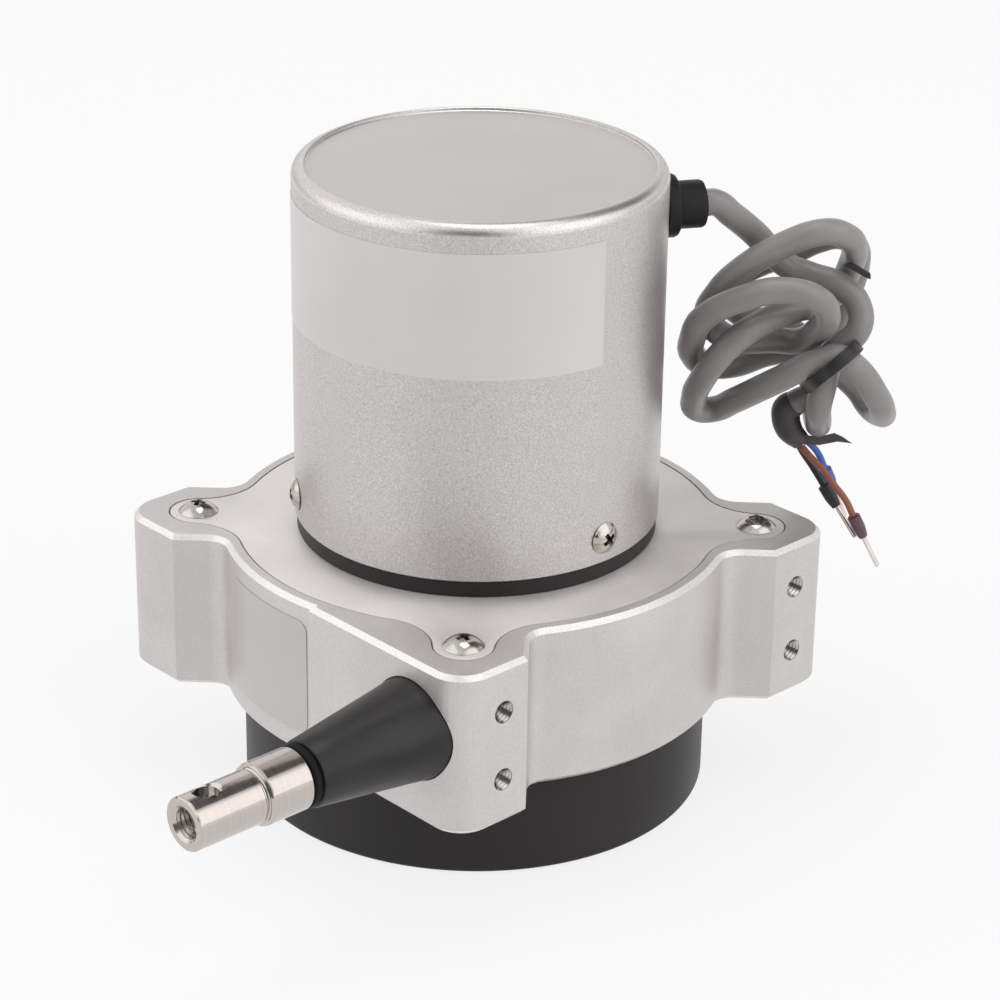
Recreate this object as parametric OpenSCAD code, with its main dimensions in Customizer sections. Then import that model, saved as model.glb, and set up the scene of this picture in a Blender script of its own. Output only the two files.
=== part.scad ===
// Draw wire encoder: a spring-wound wire drum in a square aluminium body, with a ten-turn
// potentiometer and its 0-10 V board in a round can on top and the return spring in a cap below.
// Millimetres. Origin at the centre of the cap's underside on the drum axis, +Z up.
// The wire leaves towards -Y, and the face with the four tapped holes looks along +X.

/* [Travel] */
// Length of wire that can be pulled out
stroke = 1500; // [600:100:1900]
// Length of wire laid on the drum in one turn
turn_length = 200; // [190:1:206]
// Diameter of the measuring wire
wire_d = 0.7; // [0.5:0.05:0.9]
// Distance between neighbouring turns on the drum
wire_pitch = 0.95; // [0.92:0.01:1.05]

/* [Body] */
// Width of the square body across its flats
body_w = 86; // [85:0.5:92]
// Height of the body
body_h = 28; // [28:0.5:32]
// Radius of the body's outer corners
corner_r = 6; // [3:0.5:8]
// Width of each diagonal ear
ear_w = 20.5; // [19:0.5:24]
// Radius that blends each ear into the round wall
ear_blend_r = 4; // [2:0.5:6]
// Chamfer on the body's upper and lower edges
edge_chamfer = 0.8; // [0.3:0.1:1.2]
// Where the flat front face of the outlet starts, measured from the drum axis
front_flat_x = 7; // [4:0.5:12]
// Thickness of the web under the drum
web_t = 5; // [5:0.1:5.8]
// Gap between the drum's flanges and the cavity wall
cavity_gap = 2; // [1.5:0.1:2.4]

/* [Cover plate] */
// Thickness of the inset cover plate
cover_t = 4; // [3.6:0.1:4.4]
// Width of the ledge that carries the cover plate
cover_seat = 3.5; // [3:0.1:4]
// Radius of the lobe round each cover screw
lobe_r = 4.8; // [4.4:0.1:5.4]
// Radius that blends each lobe into the round plate
lobe_blend_r = 10; // [8:0.5:14]
// Gap all round the cover plate
cover_gap = 0.25; // [0.15:0.05:0.4]
// Spacing of the cover screws along X and Y
cover_screw_span = 67; // [65:0.5:68]
// Height of the bearing boss above the cover plate
boss_h = 2; // [1.8:0.1:2.4]

/* [Mounting holes] */
// Tapping diameter of the four side mounting holes
mount_hole_d = 4; // [3:0.1:4.4]
// Depth of the mounting holes
mount_depth = 7.5; // [5:0.5:7.5]
// Horizontal spacing of the mounting holes
mount_span = 67; // [64:0.5:69]
// Vertical spacing of the mounting holes
mount_rise = 12; // [10:0.5:14]

/* [Spring cap] */
// Outer diameter of the spring cap
cap_d = 79.5; // [78:0.5:84]
// Height of the spring cap
cap_h = 18; // [17.5:0.5:24]
// Wall thickness of the spring cap
cap_wall = 2.5; // [2:0.1:3]
// Floor thickness of the spring cap
cap_floor = 2.5; // [2.2:0.1:3.2]
// Width of the power spring's strip
spring_w = 10; // [8:0.5:10.5]
// Thickness of the power spring's strip
spring_t = 0.4; // [0.3:0.05:0.6]
// Turns of the power spring at rest
spring_turns = 9; // [8:1:11]
// Diameter of the arbor that the spring hooks into
arbor_d = 12; // [11:0.5:14]

/* [Shaft and bearings] */
// Diameter of the drum shaft
shaft_d = 6; // [5.6:0.1:6.2]
// Outer diameter of the ball bearings
bearing_d = 15; // [14.6:0.1:15.6]
// Width of the ball bearings
bearing_w = 5; // [4.6:0.1:5]
// Diameter of the bearing balls
ball_d = 2.2; // [2:0.1:2.3]

/* [Drum] */
// Width of the drum over its flanges
drum_w = 15; // [13.5:0.1:15]
// Thickness of each drum flange
flange_t = 1.5; // [1.2:0.1:1.8]
// How far the flanges stand out beyond the wire's centreline
flange_rise = 3.2; // [2:0.1:3.4]
// Thickness of the drum's rim
rim_t = 3.6; // [3:0.1:5]
// Thickness of the drum's web
drum_web_t = 3; // [2:0.1:4]
// Diameter of the drum's hub
hub_d = 18; // [16:0.5:20]
// Diameter of the lightening holes in the drum's web
drum_hole_d = 12; // [8:0.5:14]

/* [Wire outlet] */
// Height from the wire up to the body's top face
outlet_h = 12; // [11.9:0.1:12.2]
// Diameter of the outlet cone at the body
nozzle_base_d = 17; // [15:0.1:17.4]
// Diameter of the outlet cone at its tip
nozzle_tip_d = 11; // [9:0.1:12]
// Length of the cone in front of the body
nozzle_len = 22; // [16:0.5:30]
// Depth of the outlet's seat in the body
nozzle_seat = 3; // [2:0.1:3.4]
// Thickness of the rubber buffer on the outlet's tip
buffer_t = 1.4; // [1:0.1:2]

/* [Wire head] */
// Diameter of the wire head's collar
collar_d = 10.2; // [9.6:0.1:11]
// Length of the collar
collar_len = 8.5; // [6:0.1:11]
// Diameter of the wire head's tip
tip_d = 8.8; // [8:0.1:9.4]
// Length of the tip
tip_len = 13; // [12:0.1:18]
// Diameter of the threaded hole in the tip
thread_d = 5; // [4.4:0.1:5.4]
// Depth of the threaded hole
thread_depth = 10; // [8:0.5:11]
// Diameter of the cross hole through the tip
cross_hole_d = 4; // [3:0.1:4.4]
// Distance of the cross hole from the end of the tip
cross_hole_inset = 4.4; // [3.6:0.1:5]

/* [Sensor can] */
// Diameter of the black ring under the can
base_d = 60.8; // [60:0.1:61.2]
// Height of the black ring
base_h = 2.8; // [2.6:0.1:4]
// Outer diameter of the can
can_d = 61.5; // [61:0.1:66]
// Height of the can
can_h = 60.8; // [60:0.1:66]
// Wall thickness of the can
can_wall = 1.5; // [1:0.1:2]
// Thickness of the can's top
can_top_t = 2.5; // [2:0.1:3]
// Rounding of the can's top edge
can_edge_r = 2; // [1:0.1:2.2]
// Width of the rim round the shallow recess in the can's top
can_rim = 2.05; // [2.05:0.05:4]
// Depth of the recess in the can's top
recess_depth = 0.6; // [0.3:0.1:0.9]
// Height of the can screws above the can's lower edge
can_screw_h = 4.4; // [3.8:0.1:5.5]

/* [Sensor] */
// Diameter of the potentiometer's body
pot_d = 22.2; // [20:0.2:24]
// Length of the potentiometer's body
pot_len = 20; // [18:0.5:20.5]
// Diameter of the potentiometer's threaded bushing
bushing_d = 9; // [8.6:0.1:9.6]
// Length of the bushing
bushing_len = 8; // [7:0.5:8.5]
// Diameter of the sensor plate
plate_d = 50; // [48:0.5:52]
// Thickness of the sensor plate
plate_t = 2.5; // [2:0.1:3]
// Length of the pillars that carry the sensor plate
pillar_len = 23.2; // [23:0.1:23.6]
// Outer diameter of the shaft coupling
coupling_d = 16; // [14:0.5:18]
// Length of the shaft coupling
coupling_len = 16; // [14:0.2:16]
// Diameter of the circuit board
board_d = 46; // [44:0.5:48]
// Thickness of the circuit board
board_t = 1.6; // [1:0.1:1.8]

/* [Cable] */
// Diameter of the cable
cable_d = 4.5; // [4:0.1:4.6]
// Direction of the gland, anticlockwise from +X
gland_angle = 60; // [50:1:70]
// Distance of the gland's axis below the top of the can
gland_drop = 9.6; // [9.4:0.1:9.9]
// Diameter of the gland's flange
gland_flange_d = 10.6; // [9.6:0.1:12]
// Thickness of the gland's flange
gland_flange_t = 2.35; // [1.6:0.05:3]
// Diameter of the gland's barrel
gland_d = 8; // [7.4:0.1:9]
// Length of the gland's barrel
gland_len = 4.7; // [4:0.1:8]
// Diameter of each lead
lead_d = 1.2; // [1:0.1:1.3]

/* [Hidden] */
$fn = 72;

// Overshoot of a cutting tool past the face that it cuts
cut = 1;
// Radial play of a screw in its thread, of a pressed bearing and of a running shaft
thread_play = 0.05;
press_play = 0.02;
running_play = 0.04;
// Gap between two pieces that slide together and then stay put
slip_gap = 0.1;
// Gap kept between turning and standing pieces
side_gap = 0.5;

// Heights
body_top = cap_h + body_h;
web_top = cap_h + web_t;
cover_z = body_top - cover_t;
wire_z = body_top - outlet_h;
base_top = body_top + base_h;
can_top = base_top + can_h;
plate_z = base_top + pillar_len;
pot_z = plate_z + plate_t;
pot_top = pot_z + pot_len;
board_gap = 2.5;
board_z = pot_top + board_gap;
board_top = board_z + board_t;

// Body and cover plate
pitch_r = turn_length / (2 * PI);
drum_r = pitch_r + flange_rise;
cavity_r = drum_r + cavity_gap;
cover_r = cavity_r + cover_seat;
round_r = body_w / 2;
lobe_reach = cover_screw_span / sqrt(2);
outlet_face = body_w / 2;
front_boss_depth = 24;
boss_wall = 2.5;
boss_r = bearing_d / 2 + boss_wall;
lip_r = bearing_d / 2 - 0.8;
lip_h = 0.6;

// Screws
m3_r = 1.5;
m3_clear_r = 1.7;
tapped_r = m3_r + thread_play;
cover_head_d = 6.8;
cover_head_h = 1.7;
cover_screw_len = 8;
pan_head_d = 5.8;
pan_head_h = 1.9;
can_screw_len = 4.5;
plate_screw_len = 6;
cap_screw_inset = 6;
cap_screw_circle = cap_d / 2 - cap_screw_inset;
cap_boss_r = 4;
cap_head_r = 3;
cap_screw_margin = 0.8;
cap_thread = web_t - cap_screw_margin;
recess_span = 0.6;
recess_blade = 0.17;
recess_sink = 0.55;

// Bearings and shaft
shaft_r = shaft_d / 2;
bearing_bore_r = shaft_r + press_play;
race_t = 1.6;
inner_race_r = shaft_r + race_t;
ball_ring_r = (inner_race_r + bearing_d / 2 - race_t) / 2;
outer_race_r = bearing_d / 2 - race_t;
ball_play = 0.05;
ball_count = 8;
bearing_chamfer = 0.3;
shaft_foot = 1;
shaft_rise = 8.7;
shaft_top = base_top + shaft_rise;
shaft_gap = 1;
clip_t = 0.8;
clip_depth = 0.3;
clip_wall = 1.8;
clip_z = cover_z + bearing_w;

// Spring housing
chamber_wall = 1.5;
chamber_gap = 0.75;
chamber_r = cap_screw_circle - cap_boss_r - chamber_wall - chamber_gap;
chamber_room = 1.5;
chamber_h = cap_h - cap_floor - chamber_room;
spring_lift = 2;
spring_z = cap_floor + spring_lift;
spring_slot = 1.2;
spring_angle = 20;
spring_steps = 18;
spring_inner_r = arbor_d / 2 + 0.5;
spring_outer_r = chamber_r - 0.4;
arbor_r = arbor_d / 2;
arbor_neck = 1.5;

// Drum
flange_z = wire_z - drum_w / 2;
groove_play = 0.02;
groove_size = wire_d + 2 * groove_play;
rim_r = pitch_r - wire_d / 3;
rim_inner_r = rim_r - rim_t;
wound_turns = ceil(stroke / turn_length) + 1;
// Where the free wire has cleared the winding, measured from the drum axis
wire_start = sqrt(pow(pitch_r + wire_d + thread_play, 2) - pow(pitch_r, 2));
drum_hole_count = 6;
drum_hole_circle = (hub_d / 2 + rim_inner_r) / 2;
set_screw_drop = 3;
set_screw_angle = 30;
set_screw_z = wire_z - drum_web_t / 2 - set_screw_drop;

// Wire outlet and head
nozzle_gap = 0.15;
nozzle_edge = 0.4;
spigot_r = 3.4;
spigot_len = 4;
wire_way_r = 2.5;
nozzle_bore_r = 1.5;
guide_r = 2.9;
guide_len = 4;
guide_bore_r = wire_d / 2 + 0.25;
felt_r = 2.4;
felt_len = 5;
felt_bore_r = wire_d / 2 + 0.05;
buffer_bore_r = 2.2;
buffer_r = nozzle_tip_d / 2 - 0.2;
head_start = nozzle_len + buffer_t;
head_chamfer = 0.5;
crimp_r = 1.6;
crimp_len = 4;
crimp_room_r = 2;
head_back_t = 4.6;
head_len = collar_len + tip_len;

// Sensor can
can_r = can_d / 2;
can_inner_r = can_r - can_wall;
base_wall = 3.5;
base_spigot_h = 9.2;
base_spigot_r = can_inner_r - slip_gap;
base_floor_r = boss_r + 0.3;
can_screw_angles = [0, 120, 240];
can_edge_steps = 4;

// Sensor and board
pillar_circle = 22;
pillar_angles = [60, 180, 300];
pillar_flats = 5.5;
pillar_stud = 3.4;
pillar_thread = cover_t - 0.5;
post_circle = 18.5;
post_angles = [0, 120, 240];
post_flats = 4.5;
post_stud = 2.2;
m2_r = 1;
m2_head_d = 3.8;
m2_head_h = 1.3;
m2_screw_len = 4;
pot_shaft_sink = 0.4;
nut_t = 2.5;
nut_flats = 12;
coupling_z = base_top + 1.4;
coupling_slit = 0.6;
coupling_slits = 4;
coupling_bridge = 3;
coupling_screw_inset = 2.6;
coupling_screw_len = (coupling_d - shaft_d) / 2 - 0.3;
pin_r = 0.5;
pin_circle = 7;
pin_tail = 1;
pin_spread = 30;

// Parts on the board, placed along the gland's direction and across it
block_size = [8, 11.4, 6.6];
block_x = 15;
block_holes = 3;
block_hole_pitch = 3.6;
block_hole_r = 0.8;
block_hole_depth = 4;
block_screw_r = 1.3;
block_screw_depth = 1;
trimmer_size = [4.8, 9.5, 6];
trimmer_x = -9;
trimmer_y = 7.5;
trimmer_screw_r = 1;
trimmer_screw_depth = 0.6;
chip_size = [6, 5, 1.8];
chip_x = 4;
capacitor_r = 2.5;
capacitor_h = 6;
capacitor_x = -3;
capacitor_y = 11.5;

// Gland
gland_z = can_top - gland_drop;
gland_thread_r = 3.4;
gland_thread_gap = 0.1;
gland_thread_len = 5.5;
gland_bore_r = cable_d / 2 + thread_play;
gland_face = can_r + gland_flange_t;
gland_end = gland_face + gland_len;
gland_chamfer = 0.5;
gland_nut_flats = 9.6;
gland_nut_t = 2.8;
gland_nut_gap = 0.7;
cable_inner_end = 24.4;
core_r = 0.45;

// Route of the cable from the gland's end: [outwards, backwards, up]
cable_heading = 47;
cable_sides = 10;
cable_route = [
    [0.05, 0, 0], [2, 0.5, 0], [5, 1.5, -2.5], [9, 4, -6.5], [15, 6, -13], [19, 5.5, -14.5],
    [24, 3, -15.5], [27, 1.5, -18.5], [27, 0, -22], [23, 0, -26.5], [21.5, -1, -32.5],
    [21, -0.5, -36], [21.5, 3, -40], [22, 8.5, -43], [22, 13.5, -43], [22, 16.5, -41],
    [23, 17.5, -37], [24, 17.5, -32], [27, 16.5, -21.5], [28, 16, -16.5], [27.5, 15.5, -13],
    [25, 15, -11], [21, 14.5, -11.5], [17, 14.5, -13.5], [8.5, 13.5, -17], [6, 13, -19],
    [6, 13, -22], [8, 13, -24.5], [12, 13, -26], [18.5, 13, -28.5], [23.5, 12, -33],
    [29, 12, -38], [31, 10.5, -40.5], [32.5, 6, -40], [32, 0.5, -37], [30.5, -3.5, -33],
    [26, -5.5, -26.5], [23.5, -5.5, -25], [20.5, -5.5, -25.5], [13.5, -2.5, -30.5],
    [7, 4, -37], [3.5, 7, -40], [1, 6, -39.5], [0, 2, -35.5], [1, -3, -30],
    [3, -5.5, -25.5], [6, -5.5, -22], [9.5, -4, -20], [17, 1.5, -19], [20, 5.5, -20],
    [23, 8.5, -19.5], [25, 9.5, -17], [26, 8, -13.5], [26, 4, -9], [24, 0, -5.5],
    [20.5, -2, -4], [13, -2.5, -6.5], [5.5, -2, -12], [3, -1, -15.5], [1.5, 1, -20],
    [3, 3, -23.5], [7, 4.5, -26], [13.5, 4.5, -26], [17, 3, -25.5], [20, -2, -21.5],
    [21, -6, -17.5], [19, -8.5, -13.5], [13, -8.5, -12], [8, -8.5, -13], [0.5, -6, -18],
    [-1, -2.5, -23], [-0.5, 2.5, -28], [2.5, 6.5, -31.5], [7, 8, -32], [13, 8.5, -30],
    [18, 7, -29], [21, 6, -31], [20.5, 5, -35.5], [17.5, 5.5, -38]
];
tie_centre = [22.8, 0.3, -29];
tie_turn = [-25, -40, 0];
tie_width = 2.4;
tie_t = 0.6;
tie_room_r = 5.3;
tie_room_len = 9;
sleeve_route = [[17.5, 5.5, -38], [16.3, 5.7, -39], [16.2, 6, -41], [17, 6.2, -43.3], [19, 6.5, -45.5]];
sleeve_radii = [2.3, 2.5, 2.5, 2.3, 1.7];
lead_sides = 8;
lead_routes = [
    [[19.2, 5.6, -46.2], [20.7, 5, -47.8], [23, 4.5, -50], [25, 3.5, -52.5], [27, 3, -55],
     [28.5, 3, -58]],
    [[19.9, 6.9, -45.6], [21, 8, -46.8], [22.5, 9, -49], [23.8, 9.5, -52]],
    [[18.7, 7.2, -46.4], [19.6, 8, -48.2], [21.5, 8, -51], [23.5, 7, -54]]
];
collar_r = 1.15;
collar_length = 4.4;
pin_length = 6.4;
pin_radius = 0.42;

function unit(v) = v / norm(v);
function tangent(points, i) =
    unit(points[min(i + 1, len(points) - 1)] - points[max(i - 1, 0)]);
function across(n, t) = unit(n - t * (n * t));

// Directions square to a route at each of its points, carried along without twisting
function side_directions(points) = [
    for (i = 0, n = across([0, 0, 1], tangent(points, 0));
         i < len(points);
         i = i + 1, n = across(n, tangent(points, min(i, len(points) - 1)))) n
];

// Closed tube along a route, with a radius for each point
module tube(points, radii, sides) {
    normals = side_directions(points);
    count = len(points);
    rings = [
        for (i = [0 : count - 1])
            let (t = tangent(points, i), n = normals[i], m = cross(t, n))
            for (k = [0 : sides - 1])
                points[i] + radii[i] * (cos(360 * k / sides) * n + sin(360 * k / sides) * m)
    ];
    walls = [
        for (i = [0 : count - 2], k = [0 : sides - 1])
            let (a = i * sides + k, b = i * sides + (k + 1) % sides)
            for (face = [[a, a + sides, b], [b, a + sides, b + sides]]) face
    ];
    start = [for (k = [0 : sides - 1]) k];
    end = [for (k = [sides - 1 : -1 : 0]) (count - 1) * sides + k];
    polyhedron(points = rings, faces = concat(walls, [start, end]), convexity = 10);
}

// Regular prism on the XY plane, measured across its flats
module hex_prism(flats, height) {
    cylinder(h = height, r = flats / sqrt(3), $fn = 6);
}

// Straight round rod between two points
module rod(from, to, r) {
    way = to - from;
    translate(from)
    rotate([0, acos(way[2] / norm(way)), atan2(way[1], way[0])])
    cylinder(h = norm(way), r = r);
}

// Domed screw with a cross recess. The head stands on z = 0 and the shank points down.
module domed_screw(head_d, head_h, shank_r, length) {
    dome_r = (pow(head_d / 2, 2) + pow(head_h, 2)) / (2 * head_h);
    difference() {
        union() {
            intersection() {
                translate([0, 0, head_h - dome_r])
                sphere(r = dome_r);
                cylinder(h = head_h + cut, d = head_d);
            }
            translate([0, 0, -length])
            cylinder(h = length + head_h / 3, r = shank_r);
        }
        for (turn = [0, 90])
            rotate([0, 0, turn])
            translate([0, 0, head_h])
            cube([recess_span * head_d, recess_blade * head_d, 2 * recess_sink * head_h],
                 center = true);
    }
}

// Set screw along +Z from z = 0, with a hexagon socket in its outer end
module set_screw(length) {
    socket = 1.5;
    difference() {
        cylinder(h = length, r = m3_r);
        translate([0, 0, length - socket])
        hex_prism(socket, socket + cut);
    }
}

// Places children along +Z at a set of angles on a circle
module on_circle(circle_r, angles, z) {
    for (a = angles)
        rotate([0, 0, a])
        translate([circle_r, 0, z])
        children();
}

module at_corners(span, z) {
    for (sx = [-1, 1], sy = [-1, 1])
        translate([sx * span / 2, sy * span / 2, z])
        children();
}

// Local +Z points along the wire, out of the body's front face
module at_outlet() {
    translate([pitch_r, -outlet_face, wire_z])
    rotate([90, 0, 0])
    children();
}

// Local +Z points outwards along the gland's axis
module at_gland() {
    rotate([0, 0, gland_angle])
    translate([0, 0, gland_z])
    rotate([0, 90, 0])
    children();
}

// Local axes of the loose cable: outwards, backwards, up from the gland's end
module at_cable() {
    rotate([0, 0, gland_angle])
    translate([gland_end, 0, gland_z])
    rotate([0, 0, cable_heading - gland_angle])
    children();
}

module ring(outer_r, inner_r, height) {
    difference() {
        cylinder(h = height, r = outer_r);
        translate([0, 0, -cut])
        cylinder(h = height + 2 * cut, r = inner_r);
    }
}

// ---- Body ----

// Disc with both edges chamfered
module chamfered_disc(r, h) {
    c = edge_chamfer;
    rotate_extrude()
    polygon([[0, 0], [r - c, 0], [r, c], [r, h - c], [r - c, h], [0, h]]);
}

// Bar along X with its four long edges chamfered
module chamfered_bar(length, width, h) {
    c = edge_chamfer;
    w = width / 2;
    rotate([90, 0, 90])
    linear_extrude(height = length, center = true)
    polygon([[-w, c], [c - w, 0], [w - c, 0], [w, c], [w, h - c], [w - c, h], [c - w, h],
             [-w, h - c]]);
}

module square_block() {
    flat = body_w - 2 * corner_r;
    chamfered_bar(flat, body_w, body_h);
    rotate([0, 0, 90])
    chamfered_bar(flat, body_w, body_h);
    at_corners(flat, 0)
    chamfered_disc(corner_r, body_h);
}

// Four ears: two diagonal bars cut off by the square
module ears() {
    intersection() {
        square_block();
        for (a = [45, 135])
            rotate([0, 0, a])
            chamfered_bar(2 * body_w, ear_w, body_h);
    }
}

// Fills the corner between one side of an ear and the round wall
module ear_blend() {
    c = edge_chamfer;
    side = ear_w / 2;
    y = side + ear_blend_r;
    x = sqrt(pow(round_r + ear_blend_r, 2) - pow(y, 2));
    touch = [x, y] * round_r / (round_r + ear_blend_r);
    inner = 0.9;
    difference() {
        linear_extrude(height = body_h)
        polygon([[x, side - 2 * c], [x, y], touch * inner, [x, side] * inner]);
        translate([x, y, 0])
        rotate_extrude()
        polygon([[0, -c], [ear_blend_r + 2 * c, -c], [ear_blend_r, c],
                 [ear_blend_r, body_h - c], [ear_blend_r + 2 * c, body_h + c],
                 [0, body_h + c]]);
    }
}

module body_shape() {
    chamfered_disc(round_r, body_h);
    ears();
    for (a = [45 : 90 : 315], flip = [0, 1])
        rotate([0, 0, a])
        mirror([0, flip, 0])
        ear_blend();
    // Flat front that the outlet is bored into
    translate([(front_flat_x + round_r - corner_r) / 2, (front_boss_depth - body_w) / 2, 0])
    chamfered_bar(round_r - corner_r - front_flat_x, front_boss_depth, body_h);
}

// Outline of the cover plate, grown by a gap
module cover_outline(grow) {
    plate = cover_r + lobe_blend_r;
    lobe = lobe_r + lobe_blend_r;
    x = (pow(plate, 2) - pow(lobe, 2) + pow(lobe_reach, 2)) / (2 * lobe_reach);
    y = sqrt(pow(plate, 2) - pow(x, 2));
    circle(r = cover_r + grow);
    for (a = [45 : 90 : 315])
        rotate(a) {
            translate([lobe_reach, 0])
            circle(r = lobe_r + grow);
            difference() {
                polygon([[0, 0], [x, -y], [lobe_reach, 0], [x, y]]);
                for (side = [-1, 1])
                    translate([x, side * y])
                    circle(r = lobe_blend_r - grow);
            }
        }
}

module main_body() {
    color("silver")
    difference() {
        translate([0, 0, cap_h])
        body_shape();
        // Drum cavity, cover pocket and bearing seat
        translate([0, 0, web_top + lip_h])
        cylinder(h = body_h, r = cavity_r);
        translate([0, 0, web_top])
        ring(cavity_r, boss_r, lip_h + cut);
        translate([0, 0, cover_z])
        linear_extrude(height = cover_t + cut)
        cover_outline(cover_gap);
        translate([0, 0, cap_h - cut])
        cylinder(h = web_t + cut + bearing_w - web_t, r = bearing_d / 2 + press_play);
        translate([0, 0, cap_h])
        cylinder(h = body_h, r = lip_r);
        // Threads for the cover and cap screws
        at_corners(cover_screw_span, cover_z - cover_screw_len + cover_t - cut)
        cylinder(h = cover_screw_len + cut, r = tapped_r);
        on_circle(cap_screw_circle, [45 : 90 : 315], cap_h - cut)
        cylinder(h = cap_thread + cut, r = tapped_r);
        // Side mounting holes
        for (sy = [-1, 1], sz = [-1, 1])
            translate([body_w / 2 - mount_depth, sy * mount_span / 2,
                       cap_h + body_h / 2 + sz * mount_rise / 2])
            rotate([0, 90, 0])
            cylinder(h = mount_depth + cut, d = mount_hole_d);
        // Seat, thread and wire way of the outlet
        at_outlet() {
            translate([0, 0, -nozzle_seat])
            cylinder(h = nozzle_seat + cut, r = nozzle_base_d / 2 + nozzle_gap);
            translate([0, 0, -nozzle_seat - spigot_len])
            cylinder(h = spigot_len + cut, r = spigot_r + thread_play);
            translate([0, 0, -outlet_face])
            cylinder(h = outlet_face - nozzle_seat, r = wire_way_r);
        }
    }
}

module cover_plate() {
    color("silver")
    difference() {
        union() {
            translate([0, 0, cover_z])
            linear_extrude(height = cover_t)
            cover_outline(0);
            translate([0, 0, cover_z])
            cylinder(h = cover_t + boss_h, r = boss_r);
        }
        translate([0, 0, cover_z - cut])
        cylinder(h = bearing_w + cut, r = bearing_d / 2 + press_play);
        translate([0, 0, cover_z])
        cylinder(h = cover_t + boss_h + cut, r = lip_r);
        at_corners(cover_screw_span, cover_z - cut)
        cylinder(h = cover_t + 2 * cut, r = m3_clear_r);
        on_circle(pillar_circle, pillar_angles, body_top - pillar_thread)
        cylinder(h = pillar_thread + cut, r = tapped_r);
    }
}

module cover_screws() {
    color("gainsboro")
    at_corners(cover_screw_span, body_top)
    domed_screw(cover_head_d, cover_head_h, m3_r, cover_screw_len);
}

// ---- Spring cap ----

module spring_cap() {
    inside_r = cap_d / 2 - cap_wall;
    color([0.13, 0.13, 0.14])
    difference() {
        cylinder(h = cap_h, d = cap_d);
        // Hollow, less the screw bosses and the ring round the spring
        difference() {
            translate([0, 0, cap_floor])
            cylinder(h = cap_h, r = inside_r);
            on_circle(cap_screw_circle, [45 : 90 : 315], 0)
            cylinder(h = 2 * cap_h, r = cap_boss_r);
            ring(chamber_r + chamber_wall, chamber_r, cap_floor + chamber_h);
        }
        on_circle(cap_screw_circle, [45 : 90 : 315], -cut)
        cylinder(h = cap_h + 2 * cut, r = m3_clear_r);
        on_circle(cap_screw_circle, [45 : 90 : 315], -thread_play)
        cylinder(h = cap_head_r - m3_r + 2 * thread_play, r1 = cap_head_r + thread_play,
                 r2 = m3_r + thread_play);
        // Slot that holds the outer end of the spring
        rotate([0, 0, spring_angle])
        translate([chamber_r - cut, -spring_slot / 2, cap_floor])
        cube([chamber_wall + 2 * cut, spring_slot, chamber_h + cut]);
    }
}

module cap_screws() {
    color("dimgray")
    on_circle(cap_screw_circle, [45 : 90 : 315], 0)
    difference() {
        union() {
            cylinder(h = cap_head_r - m3_r, r1 = cap_head_r, r2 = m3_r);
            cylinder(h = cap_h + cap_thread - 0.5, r = m3_r);
        }
        for (turn = [0, 90])
            rotate([0, 0, turn])
            cube([2 * recess_span * cap_head_r, 2 * recess_blade * cap_head_r, cap_head_r],
                 center = true);
    }
}

// Flat spiral strip between two radii, ending at spring_angle
module spiral(inner_r, outer_r, turns, thickness) {
    steps = turns * spring_steps;
    growth = (outer_r - inner_r) / steps;
    function place(i, shift) =
        let (r = inner_r + growth * i + shift, a = spring_angle - 360 * (steps - i) / spring_steps)
        r * [cos(a), sin(a)];
    polygon(concat([for (i = [0 : steps]) place(i, thickness / 2)],
                   [for (i = [steps : -1 : 0]) place(i, -thickness / 2)]));
}

module power_spring() {
    hook = chamber_r + chamber_wall - spring_outer_r;
    color("steelblue")
    translate([0, 0, spring_z]) {
        linear_extrude(height = spring_w)
        spiral(spring_inner_r, spring_outer_r, spring_turns, spring_t);
        rotate([0, 0, spring_angle])
        translate([spring_outer_r - spring_t / 2, -spring_t / 2, 0])
        cube([hook, spring_t, spring_w]);
        rotate([0, 0, spring_angle])
        translate([arbor_r - 1.5, -spring_t / 2, 0])
        cube([spring_inner_r - arbor_r + 1.5, spring_t, spring_w]);
    }
}

module spring_arbor() {
    top = cap_h - arbor_neck;
    color("darkgray")
    difference() {
        union() {
            translate([0, 0, cap_floor + shaft_foot])
            cylinder(h = top - cap_floor - shaft_foot, r = arbor_r);
            translate([0, 0, top])
            cylinder(h = arbor_neck, r = inner_race_r - bearing_chamfer);
        }
        cylinder(h = cap_h + cut, r = bearing_bore_r);
        rotate([0, 0, spring_angle])
        translate([arbor_r - 2, -spring_slot / 2, 0])
        cube([2 + cut, spring_slot, top]);
    }
}

// ---- Shaft and bearings ----

module bearing_outer_ring(z) {
    translate([0, 0, z])
    rotate_extrude()
    difference() {
        translate([outer_race_r, 0])
        square([race_t, bearing_w]);
        translate([ball_ring_r, bearing_w / 2])
        circle(d = ball_d + 2 * ball_play);
    }
}

module bearing_inner_ring(z) {
    translate([0, 0, z])
    rotate_extrude()
    difference() {
        translate([bearing_bore_r, 0])
        square([inner_race_r - bearing_bore_r, bearing_w]);
        translate([ball_ring_r, bearing_w / 2])
        circle(d = ball_d + 2 * ball_play);
    }
}

module bearing_ball_set(z) {
    on_circle(ball_ring_r, [0 : 360 / ball_count : 359], z + bearing_w / 2)
    sphere(d = ball_d);
}

module lower_bearing_outer() {
    color("lightslategray")
    bearing_outer_ring(cap_h + web_t - bearing_w);
}

module lower_bearing_inner() {
    color("lightslategray")
    bearing_inner_ring(cap_h + web_t - bearing_w);
}

module lower_bearing_balls() {
    color("white")
    bearing_ball_set(cap_h + web_t - bearing_w);
}

module upper_bearing_outer() {
    color("lightslategray")
    bearing_outer_ring(cover_z);
}

module upper_bearing_inner() {
    color("lightslategray")
    bearing_inner_ring(cover_z);
}

module upper_bearing_balls() {
    color("white")
    bearing_ball_set(cover_z);
}

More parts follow.
